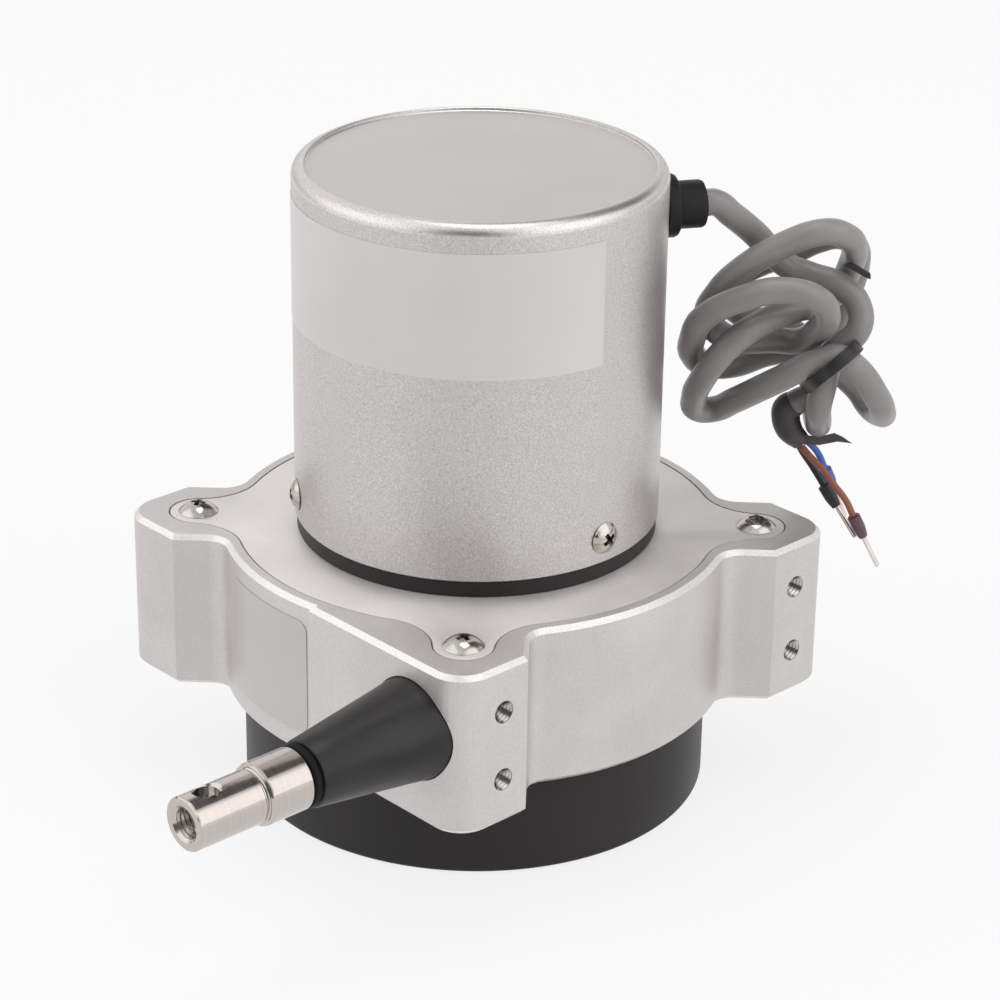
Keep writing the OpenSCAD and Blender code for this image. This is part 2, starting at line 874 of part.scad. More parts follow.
module drum_shaft() {
    foot = cap_floor + shaft_foot;
    color("lightgray")
    difference() {
        translate([0, 0, foot])
        cylinder(h = shaft_top - foot, r = shaft_r);
        translate([0, 0, clip_z])
        ring(shaft_r + cut, shaft_r - clip_depth, clip_t);
    }
}

// Open ring snapped into the shaft's groove above the upper bearing
module shaft_clip() {
    color("dimgray")
    translate([0, 0, clip_z])
    difference() {
        cylinder(h = clip_t, r = shaft_r + clip_wall - clip_depth);
        translate([0, 0, -cut])
        cylinder(h = clip_t + 2 * cut, r = shaft_r - clip_depth + press_play);
        translate([0, -shaft_r / 2, -cut])
        cube([2 * shaft_r, shaft_r, clip_t + 2 * cut]);
    }
}

// ---- Drum ----

function groove_z(i) = wire_z + (i - (wound_turns - 1) / 2) * wire_pitch;

// Half section of the drum: hub, web, rim and flanges, with one groove for each turn of wire
module drum_section() {
    half = drum_w / 2;
    race_r = inner_race_r - bearing_chamfer;
    difference() {
        union() {
            translate([bearing_bore_r, web_top])
            square([race_r - bearing_bore_r, cover_z - web_top]);
            translate([bearing_bore_r, flange_z])
            square([hub_d / 2 - bearing_bore_r, drum_w]);
            translate([bearing_bore_r, wire_z - drum_web_t / 2])
            square([rim_inner_r, drum_web_t]);
            translate([rim_inner_r, flange_z])
            square([rim_r - rim_inner_r, drum_w]);
            for (z = [flange_z, wire_z + half - flange_t])
                translate([rim_inner_r, z])
                square([drum_r - rim_inner_r, flange_t]);
        }
        for (i = [0 : wound_turns - 1])
            translate([pitch_r, groove_z(i)])
            rotate(45)
            square(groove_size, center = true);
    }
}

module wire_drum() {
    color("gainsboro")
    difference() {
        rotate_extrude($fn = 120)
        drum_section();
        on_circle(drum_hole_circle, [0 : 360 / drum_hole_count : 359], wire_z - drum_web_t)
        cylinder(h = 2 * drum_web_t, d = drum_hole_d);
        translate([0, 0, set_screw_z])
        rotate([0, 90, set_screw_angle])
        cylinder(h = hub_d, r = tapped_r);
    }
}

module drum_set_screw() {
    color("dimgray")
    rotate([0, 0, set_screw_angle])
    translate([shaft_r + press_play, 0, set_screw_z])
    rotate([0, 90, 0])
    set_screw(hub_d / 2 - shaft_r - 0.5);
}

module wire_winding() {
    color("darkgray")
    for (i = [0 : wound_turns - 1])
        translate([0, 0, groove_z(i)])
        rotate_extrude($fn = 120)
        translate([pitch_r, 0])
        circle(d = wire_d, $fn = 16);
}

// Free stretch of the wire, from the drum to the crimp in the wire head
module draw_wire() {
    color("darkgray")
    at_outlet()
    translate([0, 0, wire_start - outlet_face])
    cylinder(h = outlet_face - wire_start + head_start + head_back_t, d = wire_d, $fn = 16);
}

// ---- Wire outlet ----

module wire_nozzle() {
    tip_r = nozzle_tip_d / 2;
    base_r = nozzle_base_d / 2;
    back = -nozzle_seat - spigot_len;
    color([0.12, 0.12, 0.13])
    at_outlet()
    difference() {
        union() {
            translate([0, 0, back])
            cylinder(h = spigot_len + cut, r = spigot_r);
            translate([0, 0, -nozzle_seat])
            cylinder(h = nozzle_seat, r = base_r);
            cylinder(h = nozzle_len, r1 = base_r - nozzle_edge, r2 = tip_r);
        }
        translate([0, 0, back - cut])
        cylinder(h = nozzle_len - back + 2 * cut, r = nozzle_bore_r);
        translate([0, 0, nozzle_len - guide_len])
        cylinder(h = guide_len + cut, r = guide_r + thread_play);
        translate([0, 0, back - cut])
        cylinder(h = felt_len + cut, r = felt_r + thread_play);
    }
}

module nozzle_buffer() {
    color([0.08, 0.08, 0.08])
    at_outlet()
    translate([0, 0, nozzle_len])
    ring(buffer_r, buffer_bore_r, buffer_t);
}

// Ceramic eyelet that the wire runs over
module wire_guide() {
    color("ivory")
    at_outlet()
    translate([0, 0, nozzle_len - guide_len])
    ring(guide_r, guide_bore_r, guide_len);
}

module felt_wiper() {
    color("tan")
    at_outlet()
    translate([0, 0, -nozzle_seat - spigot_len])
    ring(felt_r, felt_bore_r, felt_len);
}

// ---- Wire head ----

module wire_head() {
    c = head_chamfer;
    collar = collar_d / 2;
    tip = tip_d / 2;
    color("gainsboro")
    at_outlet()
    translate([0, 0, head_start])
    difference() {
        rotate_extrude()
        polygon([[guide_bore_r, 0], [collar - c, 0], [collar, c], [collar, collar_len - c],
                 [collar - c, collar_len], [tip, collar_len], [tip, head_len - c],
                 [tip - c, head_len], [guide_bore_r, head_len]]);
        translate([0, 0, head_back_t])
        cylinder(h = head_len, r = crimp_room_r);
        translate([0, 0, head_len - thread_depth])
        cylinder(h = thread_depth + cut, d = thread_d);
        translate([0, 0, head_len - c])
        cylinder(h = 2 * c, d1 = thread_d, d2 = thread_d + 4 * c);
        translate([0, 0, head_len - cross_hole_inset])
        rotate([90, 0, 0])
        cylinder(h = tip_d + 2 * cut, d = cross_hole_d, center = true);
    }
}

module wire_crimp() {
    color("peru")
    at_outlet()
    translate([0, 0, head_start + head_back_t])
    cylinder(h = crimp_len, r = crimp_r);
}

// ---- Sensor can ----

module sensor_base() {
    color([0.14, 0.14, 0.15])
    difference() {
        union() {
            translate([0, 0, body_top])
            cylinder(h = base_h, d = base_d);
            translate([0, 0, body_top])
            cylinder(h = base_h + base_spigot_h, r = base_spigot_r);
        }
        translate([0, 0, base_top])
        cylinder(h = base_spigot_h + cut, r = base_spigot_r - base_wall);
        translate([0, 0, body_top - cut])
        cylinder(h = base_h + 2 * cut, r = base_floor_r);
        on_circle(pillar_circle, pillar_angles, body_top - cut)
        cylinder(h = base_h + 2 * cut, r = m3_clear_r);
        for (a = can_screw_angles)
            rotate([0, 0, a])
            translate([base_spigot_r - base_wall - cut, 0, base_top + can_screw_h])
            rotate([0, 90, 0])
            cylinder(h = base_wall + 2 * cut, r = tapped_r);
    }
}

// Half section of the can: wall, rounded top edge and shallow recess in the top
module can_section() {
    e = can_edge_r;
    edge = [for (i = [0 : can_edge_steps])
        let (a = 90 * i / can_edge_steps)
        [can_r - e + e * cos(a), can_h - e + e * sin(a)]];
    polygon(concat([[can_inner_r, 0], [can_r, 0]], edge,
                   [[can_r - can_rim, can_h], [can_r - can_rim, can_h - recess_depth],
                    [0, can_h - recess_depth], [0, can_h - can_top_t],
                    [can_inner_r, can_h - can_top_t]]));
}

module sensor_can() {
    color("silver")
    difference() {
        translate([0, 0, base_top])
        rotate_extrude()
        can_section();
        for (a = can_screw_angles)
            rotate([0, 0, a])
            translate([can_inner_r - cut, 0, base_top + can_screw_h])
            rotate([0, 90, 0])
            cylinder(h = can_wall + 2 * cut, r = m3_clear_r);
        at_gland()
        translate([0, 0, can_inner_r - 2 * cut])
        cylinder(h = can_wall + 4 * cut, r = gland_thread_r + gland_thread_gap);
    }
}

module can_screws() {
    color("gainsboro")
    for (a = can_screw_angles)
        rotate([0, 0, a])
        translate([can_r, 0, base_top + can_screw_h])
        rotate([0, 90, 0])
        domed_screw(pan_head_d, pan_head_h, m3_r, can_screw_len);
}

// ---- Sensor ----

module sensor_pillars() {
    color("goldenrod")
    on_circle(pillar_circle, pillar_angles, base_top)
    difference() {
        union() {
            hex_prism(pillar_flats, pillar_len);
            translate([0, 0, -base_h - pillar_stud])
            cylinder(h = base_h + pillar_stud + cut, r = m3_r);
        }
        translate([0, 0, pillar_len - plate_screw_len])
        cylinder(h = plate_screw_len + cut, r = tapped_r);
    }
}

module sensor_plate() {
    color("lightsteelblue")
    difference() {
        translate([0, 0, plate_z])
        cylinder(h = plate_t, d = plate_d);
        translate([0, 0, plate_z - cut])
        cylinder(h = plate_t + 2 * cut, r = bushing_d / 2 + slip_gap);
        on_circle(pillar_circle, pillar_angles, plate_z - cut)
        cylinder(h = plate_t + 2 * cut, r = m3_clear_r);
        on_circle(post_circle, post_angles, plate_z - cut)
        cylinder(h = plate_t + 2 * cut, r = m2_r + thread_play);
    }
}

module plate_screws() {
    color("gainsboro")
    on_circle(pillar_circle, pillar_angles, pot_z)
    domed_screw(pan_head_d - 0.4, pan_head_h, m3_r, plate_t + plate_screw_len - 1);
}

// Beam coupling: rings joined by bridges on alternate sides, which make it flexible
module shaft_coupling() {
    color("silver")
    difference() {
        union() {
            difference() {
                translate([0, 0, coupling_z])
                ring(coupling_d / 2, bearing_bore_r, coupling_len);
                for (i = [0 : coupling_slits - 1])
                    translate([0, 0, slit_z(i)])
                    cylinder(h = coupling_slit, d = coupling_d + cut);
            }
            for (i = [0 : coupling_slits - 1])
                rotate([0, 0, 90 * i])
                intersection() {
                    translate([0, 0, slit_z(i) - coupling_slit / 2])
                    cylinder(h = 2 * coupling_slit, d = coupling_d - coupling_slit);
                    translate([-coupling_d, -coupling_d, slit_z(i) - coupling_slit])
                    cube([coupling_d / 2 + coupling_bridge, 2 * coupling_d, 3 * coupling_slit]);
                }
        }
        for (z = coupling_screw_heights())
            translate([0, 0, z])
            rotate([0, 90, 0])
            cylinder(h = coupling_d, r = tapped_r);
    }
}

function slit_z(i) =
    coupling_z + 2 * coupling_screw_inset
    + (i + 0.5) * (coupling_len - 4 * coupling_screw_inset) / coupling_slits - coupling_slit / 2;

function coupling_screw_heights() =
    [coupling_z + coupling_screw_inset, coupling_z + coupling_len - coupling_screw_inset];

module coupling_screws() {
    color("dimgray")
    for (z = coupling_screw_heights())
        translate([shaft_r + press_play, 0, z])
        rotate([0, 90, 0])
        set_screw(coupling_screw_len);
}

module potentiometer() {
    edge = 0.8;
    color("royalblue")
    difference() {
        union() {
            translate([0, 0, pot_z])
            cylinder(h = pot_len - edge, d = pot_d);
            translate([0, 0, pot_top - edge])
            cylinder(h = edge, d1 = pot_d, d2 = pot_d - 2 * edge);
            translate([0, 0, pot_z - bushing_len])
            cylinder(h = bushing_len + cut, d = bushing_d);
            for (i = [-1, 0, 1])
                rotate([0, 0, 180 + pin_spread * i])
                translate([pin_circle, 0, pot_top - cut])
                cylinder(h = board_gap + board_t + pin_tail + cut, r = pin_r);
        }
        translate([0, 0, pot_z - bushing_len - cut])
        cylinder(h = bushing_len + cut, r = shaft_r + running_play);
    }
}

module potentiometer_shaft() {
    color("lightgray")
    translate([0, 0, shaft_top + shaft_gap])
    cylinder(h = pot_z - pot_shaft_sink - shaft_top - shaft_gap, r = shaft_r);
}

module potentiometer_nut() {
    color("gold")
    translate([0, 0, plate_z - nut_t])
    difference() {
        hex_prism(nut_flats, nut_t);
        translate([0, 0, -cut])
        cylinder(h = nut_t + 2 * cut, r = bushing_d / 2 + thread_play);
    }
}

// ---- Circuit board ----

module board_posts() {
    color("goldenrod")
    on_circle(post_circle, post_angles, pot_z)
    difference() {
        union() {
            hex_prism(post_flats, board_z - pot_z);
            translate([0, 0, -post_stud])
            cylinder(h = post_stud + cut, r = m2_r);
        }
        translate([0, 0, board_z - pot_z - m2_screw_len])
        cylinder(h = m2_screw_len + cut, r = m2_r + thread_play);
    }
}

module circuit_board() {
    color("darkgreen")
    difference() {
        translate([0, 0, board_z])
        cylinder(h = board_t, d = board_d);
        on_circle(post_circle, post_angles, board_z - cut)
        cylinder(h = board_t + 2 * cut, r = m2_r + slip_gap);
        for (i = [-1, 0, 1])
            rotate([0, 0, 180 + pin_spread * i])
            translate([pin_circle, 0, board_z - cut])
            cylinder(h = board_t + 2 * cut, r = pin_r + thread_play);
    }
}

module board_screws() {
    color("gainsboro")
    on_circle(post_circle, post_angles, board_top)
    domed_screw(m2_head_d, m2_head_h, m2_r, board_t + m2_screw_len - 0.5);
}

// Places a part on the board, with local +X towards the gland
module on_board(x, y) {
    rotate([0, 0, gland_angle])
    translate([x, y, board_top])
    children();
}

module board_box(size) {
    translate([-size[0] / 2, -size[1] / 2, 0])
    cube(size);
}

module terminal_block() {
    color("seagreen")
    on_board(block_x, 0)
    difference() {
        board_box(block_size);
        for (i = [-1, 0, 1]) {
            translate([block_size[0] / 2 + cut, i * block_hole_pitch, gland_z - board_top])
            rotate([0, -90, 0])
            cylinder(h = block_hole_depth + cut, r = block_hole_r);
            translate([-block_screw_depth, i * block_hole_pitch,
                       block_size[2] - block_screw_depth])
            cylinder(h = block_screw_depth + cut, r = block_screw_r);
        }
    }
}

module trimmers() {
    color("dodgerblue")
    for (side = [-1, 1])
        on_board(trimmer_x, side * trimmer_y)
        difference() {
            board_box(trimmer_size);
            translate([0, trimmer_size[1] / 3, trimmer_size[2] - trimmer_screw_depth])
            cylinder(h = trimmer_screw_depth + cut, r = trimmer_screw_r);
        }
}

module signal_chip() {
    color([0.1, 0.1, 0.1])
    on_board(chip_x, 0)
    board_box(chip_size);
}

module capacitors() {
    color("navy")
    for (side = [-1, 1])
        on_board(capacitor_x, side * capacitor_y)
        cylinder(h = capacitor_h, r = capacitor_r);
}

// ---- Cable ----

module cable_gland() {
    c = gland_chamfer;
    thread_start = can_r - gland_thread_len;
    color([0.12, 0.12, 0.13])
    at_gland()
    rotate_extrude()
    polygon([[gland_bore_r, thread_start], [gland_thread_r, thread_start],
             [gland_thread_r, can_r], [gland_flange_d / 2, can_r],
             [gland_flange_d / 2, gland_face - c], [gland_flange_d / 2 - c, gland_face],
             [gland_d / 2, gland_face], [gland_d / 2, gland_end - c],
             [gland_d / 2 - c, gland_end], [gland_bore_r, gland_end]]);
}

module gland_nut() {
    color("dimgray")
    at_gland()
    translate([0, 0, can_inner_r - gland_nut_gap - gland_nut_t])
    difference() {
        hex_prism(gland_nut_flats, gland_nut_t);
        translate([0, 0, -cut])
        cylinder(h = gland_nut_t + 2 * cut, r = gland_thread_r + thread_play);
    }
}

// The cable's stretch inside the gland
module cable_entry() {
    color("darkgray")
    at_gland()
    translate([0, 0, cable_inner_end])
    cylinder(h = gland_end - cable_inner_end, d = cable_d);
}

module inner_leads() {
    block_face = block_x + block_size[0] / 2;
    color("sienna")
    rotate([0, 0, gland_angle])
    for (i = [-1, 0, 1])
        rod([block_face - 1, i * block_hole_pitch, gland_z],
            [cable_inner_end - core_r, i * lead_d, gland_z], core_r);
}

module signal_cable() {
    color("gray")
    at_cable()
    tube(cable_route, [for (p = cable_route) cable_d / 2], cable_sides);
}

// Flat band round the strands where they cross
module cable_tie() {
    room = tie_room_len / 2;
    color([0.1, 0.1, 0.1])
    at_cable()
    translate(tie_centre)
    rotate([tie_turn[0], 0, 0])
    rotate([0, tie_turn[1], 0])
    linear_extrude(height = tie_width, center = true)
    difference() {
        tie_outline(tie_room_r + tie_t, room);
        tie_outline(tie_room_r, room);
    }
}

module tie_outline(r, half_len) {
    for (side = [-1, 1])
        translate([0, side * half_len])
        circle(r = r);
    square([2 * r, 2 * half_len], center = true);
}

module cable_sleeve() {
    color([0.15, 0.15, 0.15])
    at_cable()
    tube(sleeve_route, sleeve_radii, cable_sides);
}

module lead(i) {
    route = lead_routes[i];
    at_cable()
    tube(route, [for (p = route) lead_d / 2], lead_sides);
}

module brown_lead() {
    color("sienna")
    lead(0);
}

module blue_lead() {
    color("royalblue")
    lead(1);
}

module black_lead() {
    color([0.12, 0.12, 0.12])
    lead(2);
}

// Places children at the end of each lead, with +Z along the lead
module at_lead_ends() {
    for (route = lead_routes) {
        last = len(route) - 1;
        way = unit(route[last] - route[last - 1]);
        at_cable()
        translate(route[last])
        rotate([0, acos(way[2]), atan2(way[1], way[0])])
        children();
    }
}

module lead_collars() {
    color("maroon")
    at_lead_ends()
    cylinder(h = collar_length, r = collar_r);
}

module lead_pins() {
    color("lightgray")
    at_lead_ends()
    translate([0, 0, collar_length])
    cylinder(h = pin_length, r = pin_radius);
}

spring_cap();
cap_screws();
power_spring();
spring_arbor();
main_body();
cover_plate();
cover_screws();
lower_bearing_outer();
lower_bearing_inner();
lower_bearing_balls();
upper_bearing_outer();
upper_bearing_inner();
upper_bearing_balls();
drum_shaft();
shaft_clip();
wire_drum();
drum_set_screw();
wire_winding();
draw_wire();
wire_nozzle();
nozzle_buffer();
wire_guide();
felt_wiper();
wire_head();
wire_crimp();
sensor_base();
sensor_can();
can_screws();
sensor_pillars();
sensor_plate();
plate_screws();
shaft_coupling();
coupling_screws();
potentiometer();
potentiometer_shaft();
potentiometer_nut();
board_posts();
circuit_board();
board_screws();
terminal_block();
trimmers();
signal_chip();
capacitors();
cable_gland();
gland_nut();
cable_entry();
inner_leads();
signal_cable();
cable_tie();
cable_sleeve();
brown_lead();
blue_lead();
black_lead();
lead_collars();
lead_pins();
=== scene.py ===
import math
import bpy
from mathutils import Matrix, Vector


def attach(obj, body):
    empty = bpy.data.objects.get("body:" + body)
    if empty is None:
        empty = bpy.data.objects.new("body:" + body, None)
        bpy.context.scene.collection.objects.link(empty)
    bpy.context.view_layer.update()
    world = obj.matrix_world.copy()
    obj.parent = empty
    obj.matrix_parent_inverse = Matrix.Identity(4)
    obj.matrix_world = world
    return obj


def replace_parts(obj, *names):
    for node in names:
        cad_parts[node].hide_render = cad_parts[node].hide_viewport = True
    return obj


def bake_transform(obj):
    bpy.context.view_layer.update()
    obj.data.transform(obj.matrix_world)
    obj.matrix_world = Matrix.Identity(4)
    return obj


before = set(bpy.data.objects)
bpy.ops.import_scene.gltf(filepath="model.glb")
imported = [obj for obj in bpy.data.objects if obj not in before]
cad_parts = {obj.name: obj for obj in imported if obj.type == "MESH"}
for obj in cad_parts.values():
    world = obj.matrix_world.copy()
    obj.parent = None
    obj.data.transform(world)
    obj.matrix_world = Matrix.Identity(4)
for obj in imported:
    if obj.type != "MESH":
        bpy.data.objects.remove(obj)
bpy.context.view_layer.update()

mm = 0.001
housing, drum, wireHead = "housing", "drum", "wire_head"

# Millimetres throughout, turned into metres where a mesh is made


def point(p):
    return Vector((p[0] * mm, p[1] * mm, p[2] * mm))


def setMode(kind):
    bpy.ops.object.mode_set(mode=kind)


def clearPick():
    if bpy.context.mode != "OBJECT":
        setMode("OBJECT")
    bpy.ops.object.select_all(action="DESELECT")


def pickOnly(*objects):
    clearPick()
    for obj in objects:
        obj.select_set(True)
    bpy.context.view_layer.objects.active = objects[0]


def pickAll():  # everything in the mesh being edited
    bpy.ops.mesh.select_all(action="SELECT")


def settle(obj):  # place, turn and size go into the mesh
    pickOnly(obj)
    bpy.ops.object.transform_apply(location=True, rotation=True, scale=True)


def moved(obj, place):  # place is a matrix in metres
    obj.matrix_world = place @ obj.matrix_world
    settle(obj)


def startAt(name, first):  # a single point to extrude from
    clearPick()
    bpy.ops.mesh.primitive_plane_add(size=mm, location=(0, 0, 0))
    obj = bpy.context.object
    obj.name = obj.data.name = name
    setMode("EDIT")
    bpy.ops.mesh.select_mode(type="VERT")
    pickAll()
    bpy.ops.mesh.merge(type="CENTER")
    bpy.ops.transform.translate(value=point(first))
    return obj


def drawLine(points):  # goes on from the selected point
    for a, b in zip(points, points[1:]):
        bpy.ops.mesh.extrude_vertices_move(TRANSFORM_OT_translate={"value": point(Vector(b) - Vector(a))})


def closeLine():
    pickAll()
    bpy.ops.mesh.remove_doubles(threshold=0.00001)


def tidyFaces():
    pickAll()
    bpy.ops.mesh.remove_doubles(threshold=0.000002)
    bpy.ops.mesh.normals_make_consistent(inside=False)
    setMode("OBJECT")


def slab(name, outline, low, high):  # closed outline filled and pulled up
    obj = startAt(name, (outline[0][0], outline[0][1], low))
    drawLine([(x, y, low) for x, y in outline] + [(outline[0][0], outline[0][1], low)])
    closeLine()
    bpy.ops.mesh.edge_face_add()
    bpy.ops.mesh.extrude_region_move(TRANSFORM_OT_translate={"value": (0, 0, (high - low) * mm)})
    tidyFaces()
    return obj


def turned(name, profile, steps=96):  # profile of (radius, height) spun round Z
    line = [(r, 0, z) for r, z in profile]
    onAxis = [i for i, (r, z) in enumerate(profile) if r == 0]
    if len(onAxis) == 2:  # no line is drawn along the axis itself
        first = onAxis[1] if onAxis[1] == onAxis[0] + 1 else 0
        line = line[first:] + line[:first]
    else:
        line.append(line[0])
    obj = startAt(name, line[0])
    drawLine(line)
    closeLine()
    bpy.ops.mesh.spin(steps=steps, angle=2 * math.pi, center=(0, 0, 0), axis=(0, 0, 1))
    tidyFaces()
    return obj


def modified(obj, kind, **settings):  # one modifier, applied at once
    pickOnly(obj)
    bpy.ops.object.modifier_add(type=kind)
    step = obj.modifiers[-1]
    for key, value in settings.items():
        setattr(step, key, value)
    bpy.ops.object.modifier_apply(modifier=step.name)


def rounded(obj, width, angle):
    modified(obj, "BEVEL", width=width * mm, segments=2, limit_method="ANGLE",
             angle_limit=math.radians(angle), harden_normals=False)


def cutAway(obj, cutter, slot=0):  # the cut faces take that material slot
    for face in cutter.data.polygons:
        face.material_index = slot
    while len(cutter.data.materials) <= slot:
        cutter.data.materials.append(None)
    modified(obj, "BOOLEAN", operation="DIFFERENCE", solver="EXACT", object=cutter)
    bpy.data.objects.remove(cutter, do_unlink=True)


def drill(obj, r, depth, place, steps=32, slot=0):  # from the place's origin along its +Z
    clearPick()
    bpy.ops.mesh.primitive_cylinder_add(vertices=steps, radius=r * mm, depth=depth * mm,
                                        location=(0, 0, depth * mm / 2))
    cutter = bpy.context.object
    settle(cutter)
    moved(cutter, place)
    cutAway(obj, cutter, slot)


def pickParts(obj, kind, test):  # in edit mode afterwards, only the parts that pass the test picked
    pickOnly(obj)
    setMode("EDIT")
    bpy.ops.mesh.select_mode(type=kind)
    bpy.ops.mesh.select_all(action="DESELECT")
    setMode("OBJECT")
    spots = obj.data.vertices
    for part in obj.data.edges if kind == "EDGE" else spots:
        ends = part.vertices if kind == "EDGE" else (part.index,)
        part.select = test(*(spots[i].co / mm for i in ends))
    setMode("EDIT")


def smooth(obj, angle=30):
    pickOnly(obj)
    bpy.ops.object.shade_smooth_by_angle(angle=math.radians(angle))


def copied(obj, name, place):
    pickOnly(obj)
    bpy.ops.object.duplicate(linked=False)
    twin = bpy.context.object
    twin.name = twin.data.name = name
    moved(twin, place)
    return twin


def joined(*objects):
    pickOnly(*objects)
    bpy.ops.object.join()
    return bpy.context.object


def spreadOut(first, name, places):  # the piece copied to each place, joined as one
    twins = [copied(first, "%s%d" % (first.name, i), place) for i, place in enumerate(places)]
    bpy.data.objects.remove(first, do_unlink=True)
    row = joined(*twins)
    row.name = row.data.name = name
    return row


def finishPiece(obj, body, look=None, replaces=()):  # a finish already there stays
    if look and not len(obj.data.materials):
        obj.data.materials.append(finishes[look])
    if replaces:
        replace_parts(obj, *replaces)
    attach(obj, body)


def shift(x, y, z):
    return Matrix.Translation(point((x, y, z)))


def turn(degrees, axis):
    return Matrix.Rotation(math.radians(degrees), 4, axis)


def spun(p, degrees):  # a flat point turned about the middle
    a = math.radians(degrees)
    return (p[0] * math.cos(a) - p[1] * math.sin(a), p[0] * math.sin(a) + p[1] * math.cos(a))


def corners(span, z):
    return [shift(sx * span / 2, sy * span / 2, z) for sx in (-1, 1) for sy in (-1, 1)]


def diagonals(r, z):  # four places on a circle, between the axes
    return [shift(r * math.cos(a), r * math.sin(a), z)
            for a in (math.radians(45 + 90 * i) for i in range(4))]


def arc(cx, cy, r, start, end, steps):
    return [(cx + r * math.cos(math.radians(start + (end - start) * i / steps)),
             cy + r * math.sin(math.radians(start + (end - start) * i / steps)))
            for i in range(steps + 1)]


# Camera, at the height and side from which the object is looked at
camera = {"azimuth": 46.74, "elevation": 24.67, "roll": 0.84, "distance": 0.5552, "lens": 118.0,
          "target": (2.70, 2.87, 49.43)}


def placeCamera():
    pose = (turn(camera["azimuth"], "Z") @ turn(90 - camera["elevation"], "X")
            @ turn(camera["roll"], "Z"))
    back = pose @ Vector((0, 0, 1))
    clearPick()
    bpy.ops.object.camera_add(location=point(camera["target"]) + back * camera["distance"],
                              rotation=pose.to_euler())
    lens = bpy.context.object
    lens.data.lens = camera["lens"]
    lens.data.sensor_width = 36
    lens.data.clip_start = 0.01
    lens.data.clip_end = 100
    bpy.context.scene.camera = lens


placeCamera()
print("camera placed")


def tone(red, green, blue):  # a colour as it is seen, 0 to 255
    return tuple(((c / 255 + 0.055) / 1.055) ** 2.4 if c > 10 else c / 255 / 12.92
                 for c in (red, green, blue)) + (1.0,)


def newMaterial(name):
    material = bpy.data.materials.new(name)
    material.use_nodes = True
    tree = material.node_tree
    return material, tree.nodes, tree.links, tree.nodes["Principled BSDF"]


def objectNoise(nodes, links, scale, stretch=(1, 1, 1), detail=2.0, rough=0.5):
    coords = nodes.new("ShaderNodeTexCoord")
    mapping = nodes.new("ShaderNodeMapping")
    mapping.inputs["Scale"].default_value = stretch
    noise = nodes.new("ShaderNodeTexNoise")
    noise.inputs["Scale"].default_value = scale
    noise.inputs["Detail"].default_value = detail
    noise.inputs["Roughness"].default_value = rough
    links.new(coords.outputs["Object"], mapping.inputs["Vector"])
    links.new(mapping.outputs["Vector"], noise.inputs["Vector"])
    return noise.outputs["Fac"]


def spread(nodes, links, value, low, high, start=0.3, stop=0.7):
    ranged = nodes.new("ShaderNodeMapRange")
    ranged.inputs["From Min"].default_value = start
    ranged.inputs["From Max"].default_value = stop
    ranged.inputs["To Min"].default_value = low
    ranged.inputs["To Max"].default_value = high
    links.new(value, ranged.inputs["Value"])
    return ranged.outputs["Result"]


def blended(nodes, links, value, dark, light, start=0.3, stop=0.7):
    ramp = nodes.new("ShaderNodeValToRGB")
    ramp.color_ramp.elements[0].position = start
    ramp.color_ramp.elements[0].color = dark
    ramp.color_ramp.elements[1].position = stop
    ramp.color_ramp.elements[1].color = light
    links.new(value, ramp.inputs["Fac"])
    return ramp.outputs["Color"]


def dented(nodes, links, value, strength, depth, below=None):
    bump = nodes.new("ShaderNodeBump")
    bump.inputs["Strength"].default_value = strength
    bump.inputs["Distance"].default_value = depth * mm
    links.new(value, bump.inputs["Height"])
    if below:
        links.new(below, bump.inputs["Normal"])
    return bump.outputs["Normal"]


# Base finish: clouded colour, clouded gloss and a fine relief
def finish(name, dark, light, metal=0.0, gloss=(0.4, 0.5), clouds=120, grain=3500, relief=0.3,
           depth=0.02, stretch=(1, 1, 1), specks=0.0, shine=0.5):
    material, nodes, links, shader = newMaterial(name)
    dark, light = tone(*dark), tone(*light)
    shader.inputs["Metallic"].default_value = metal
    shader.inputs["Specular IOR Level"].default_value = shine
    cloud = objectNoise(nodes, links, clouds, stretch, 3.0)
    fine = objectNoise(nodes, links, grain, stretch, 1.0)
    if specks:
        mixed = nodes.new("ShaderNodeMath")
        mixed.operation = "MULTIPLY_ADD"
        mixed.inputs[1].default_value = specks
        links.new(fine, mixed.inputs[0])
        scaled = spread(nodes, links, cloud, 0.0, 1.0 - specks)
        links.new(scaled, mixed.inputs[2])
        cloudy = mixed.outputs["Value"]
        links.new(blended(nodes, links, cloudy, dark, light, 0.2, 0.8), shader.inputs["Base Color"])
    else:
        links.new(blended(nodes, links, cloud, dark, light), shader.inputs["Base Color"])
    links.new(spread(nodes, links, cloud, gloss[0], gloss[1]), shader.inputs["Roughness"])
    links.new(dented(nodes, links, fine, relief, depth), shader.inputs["Normal"])
    return material


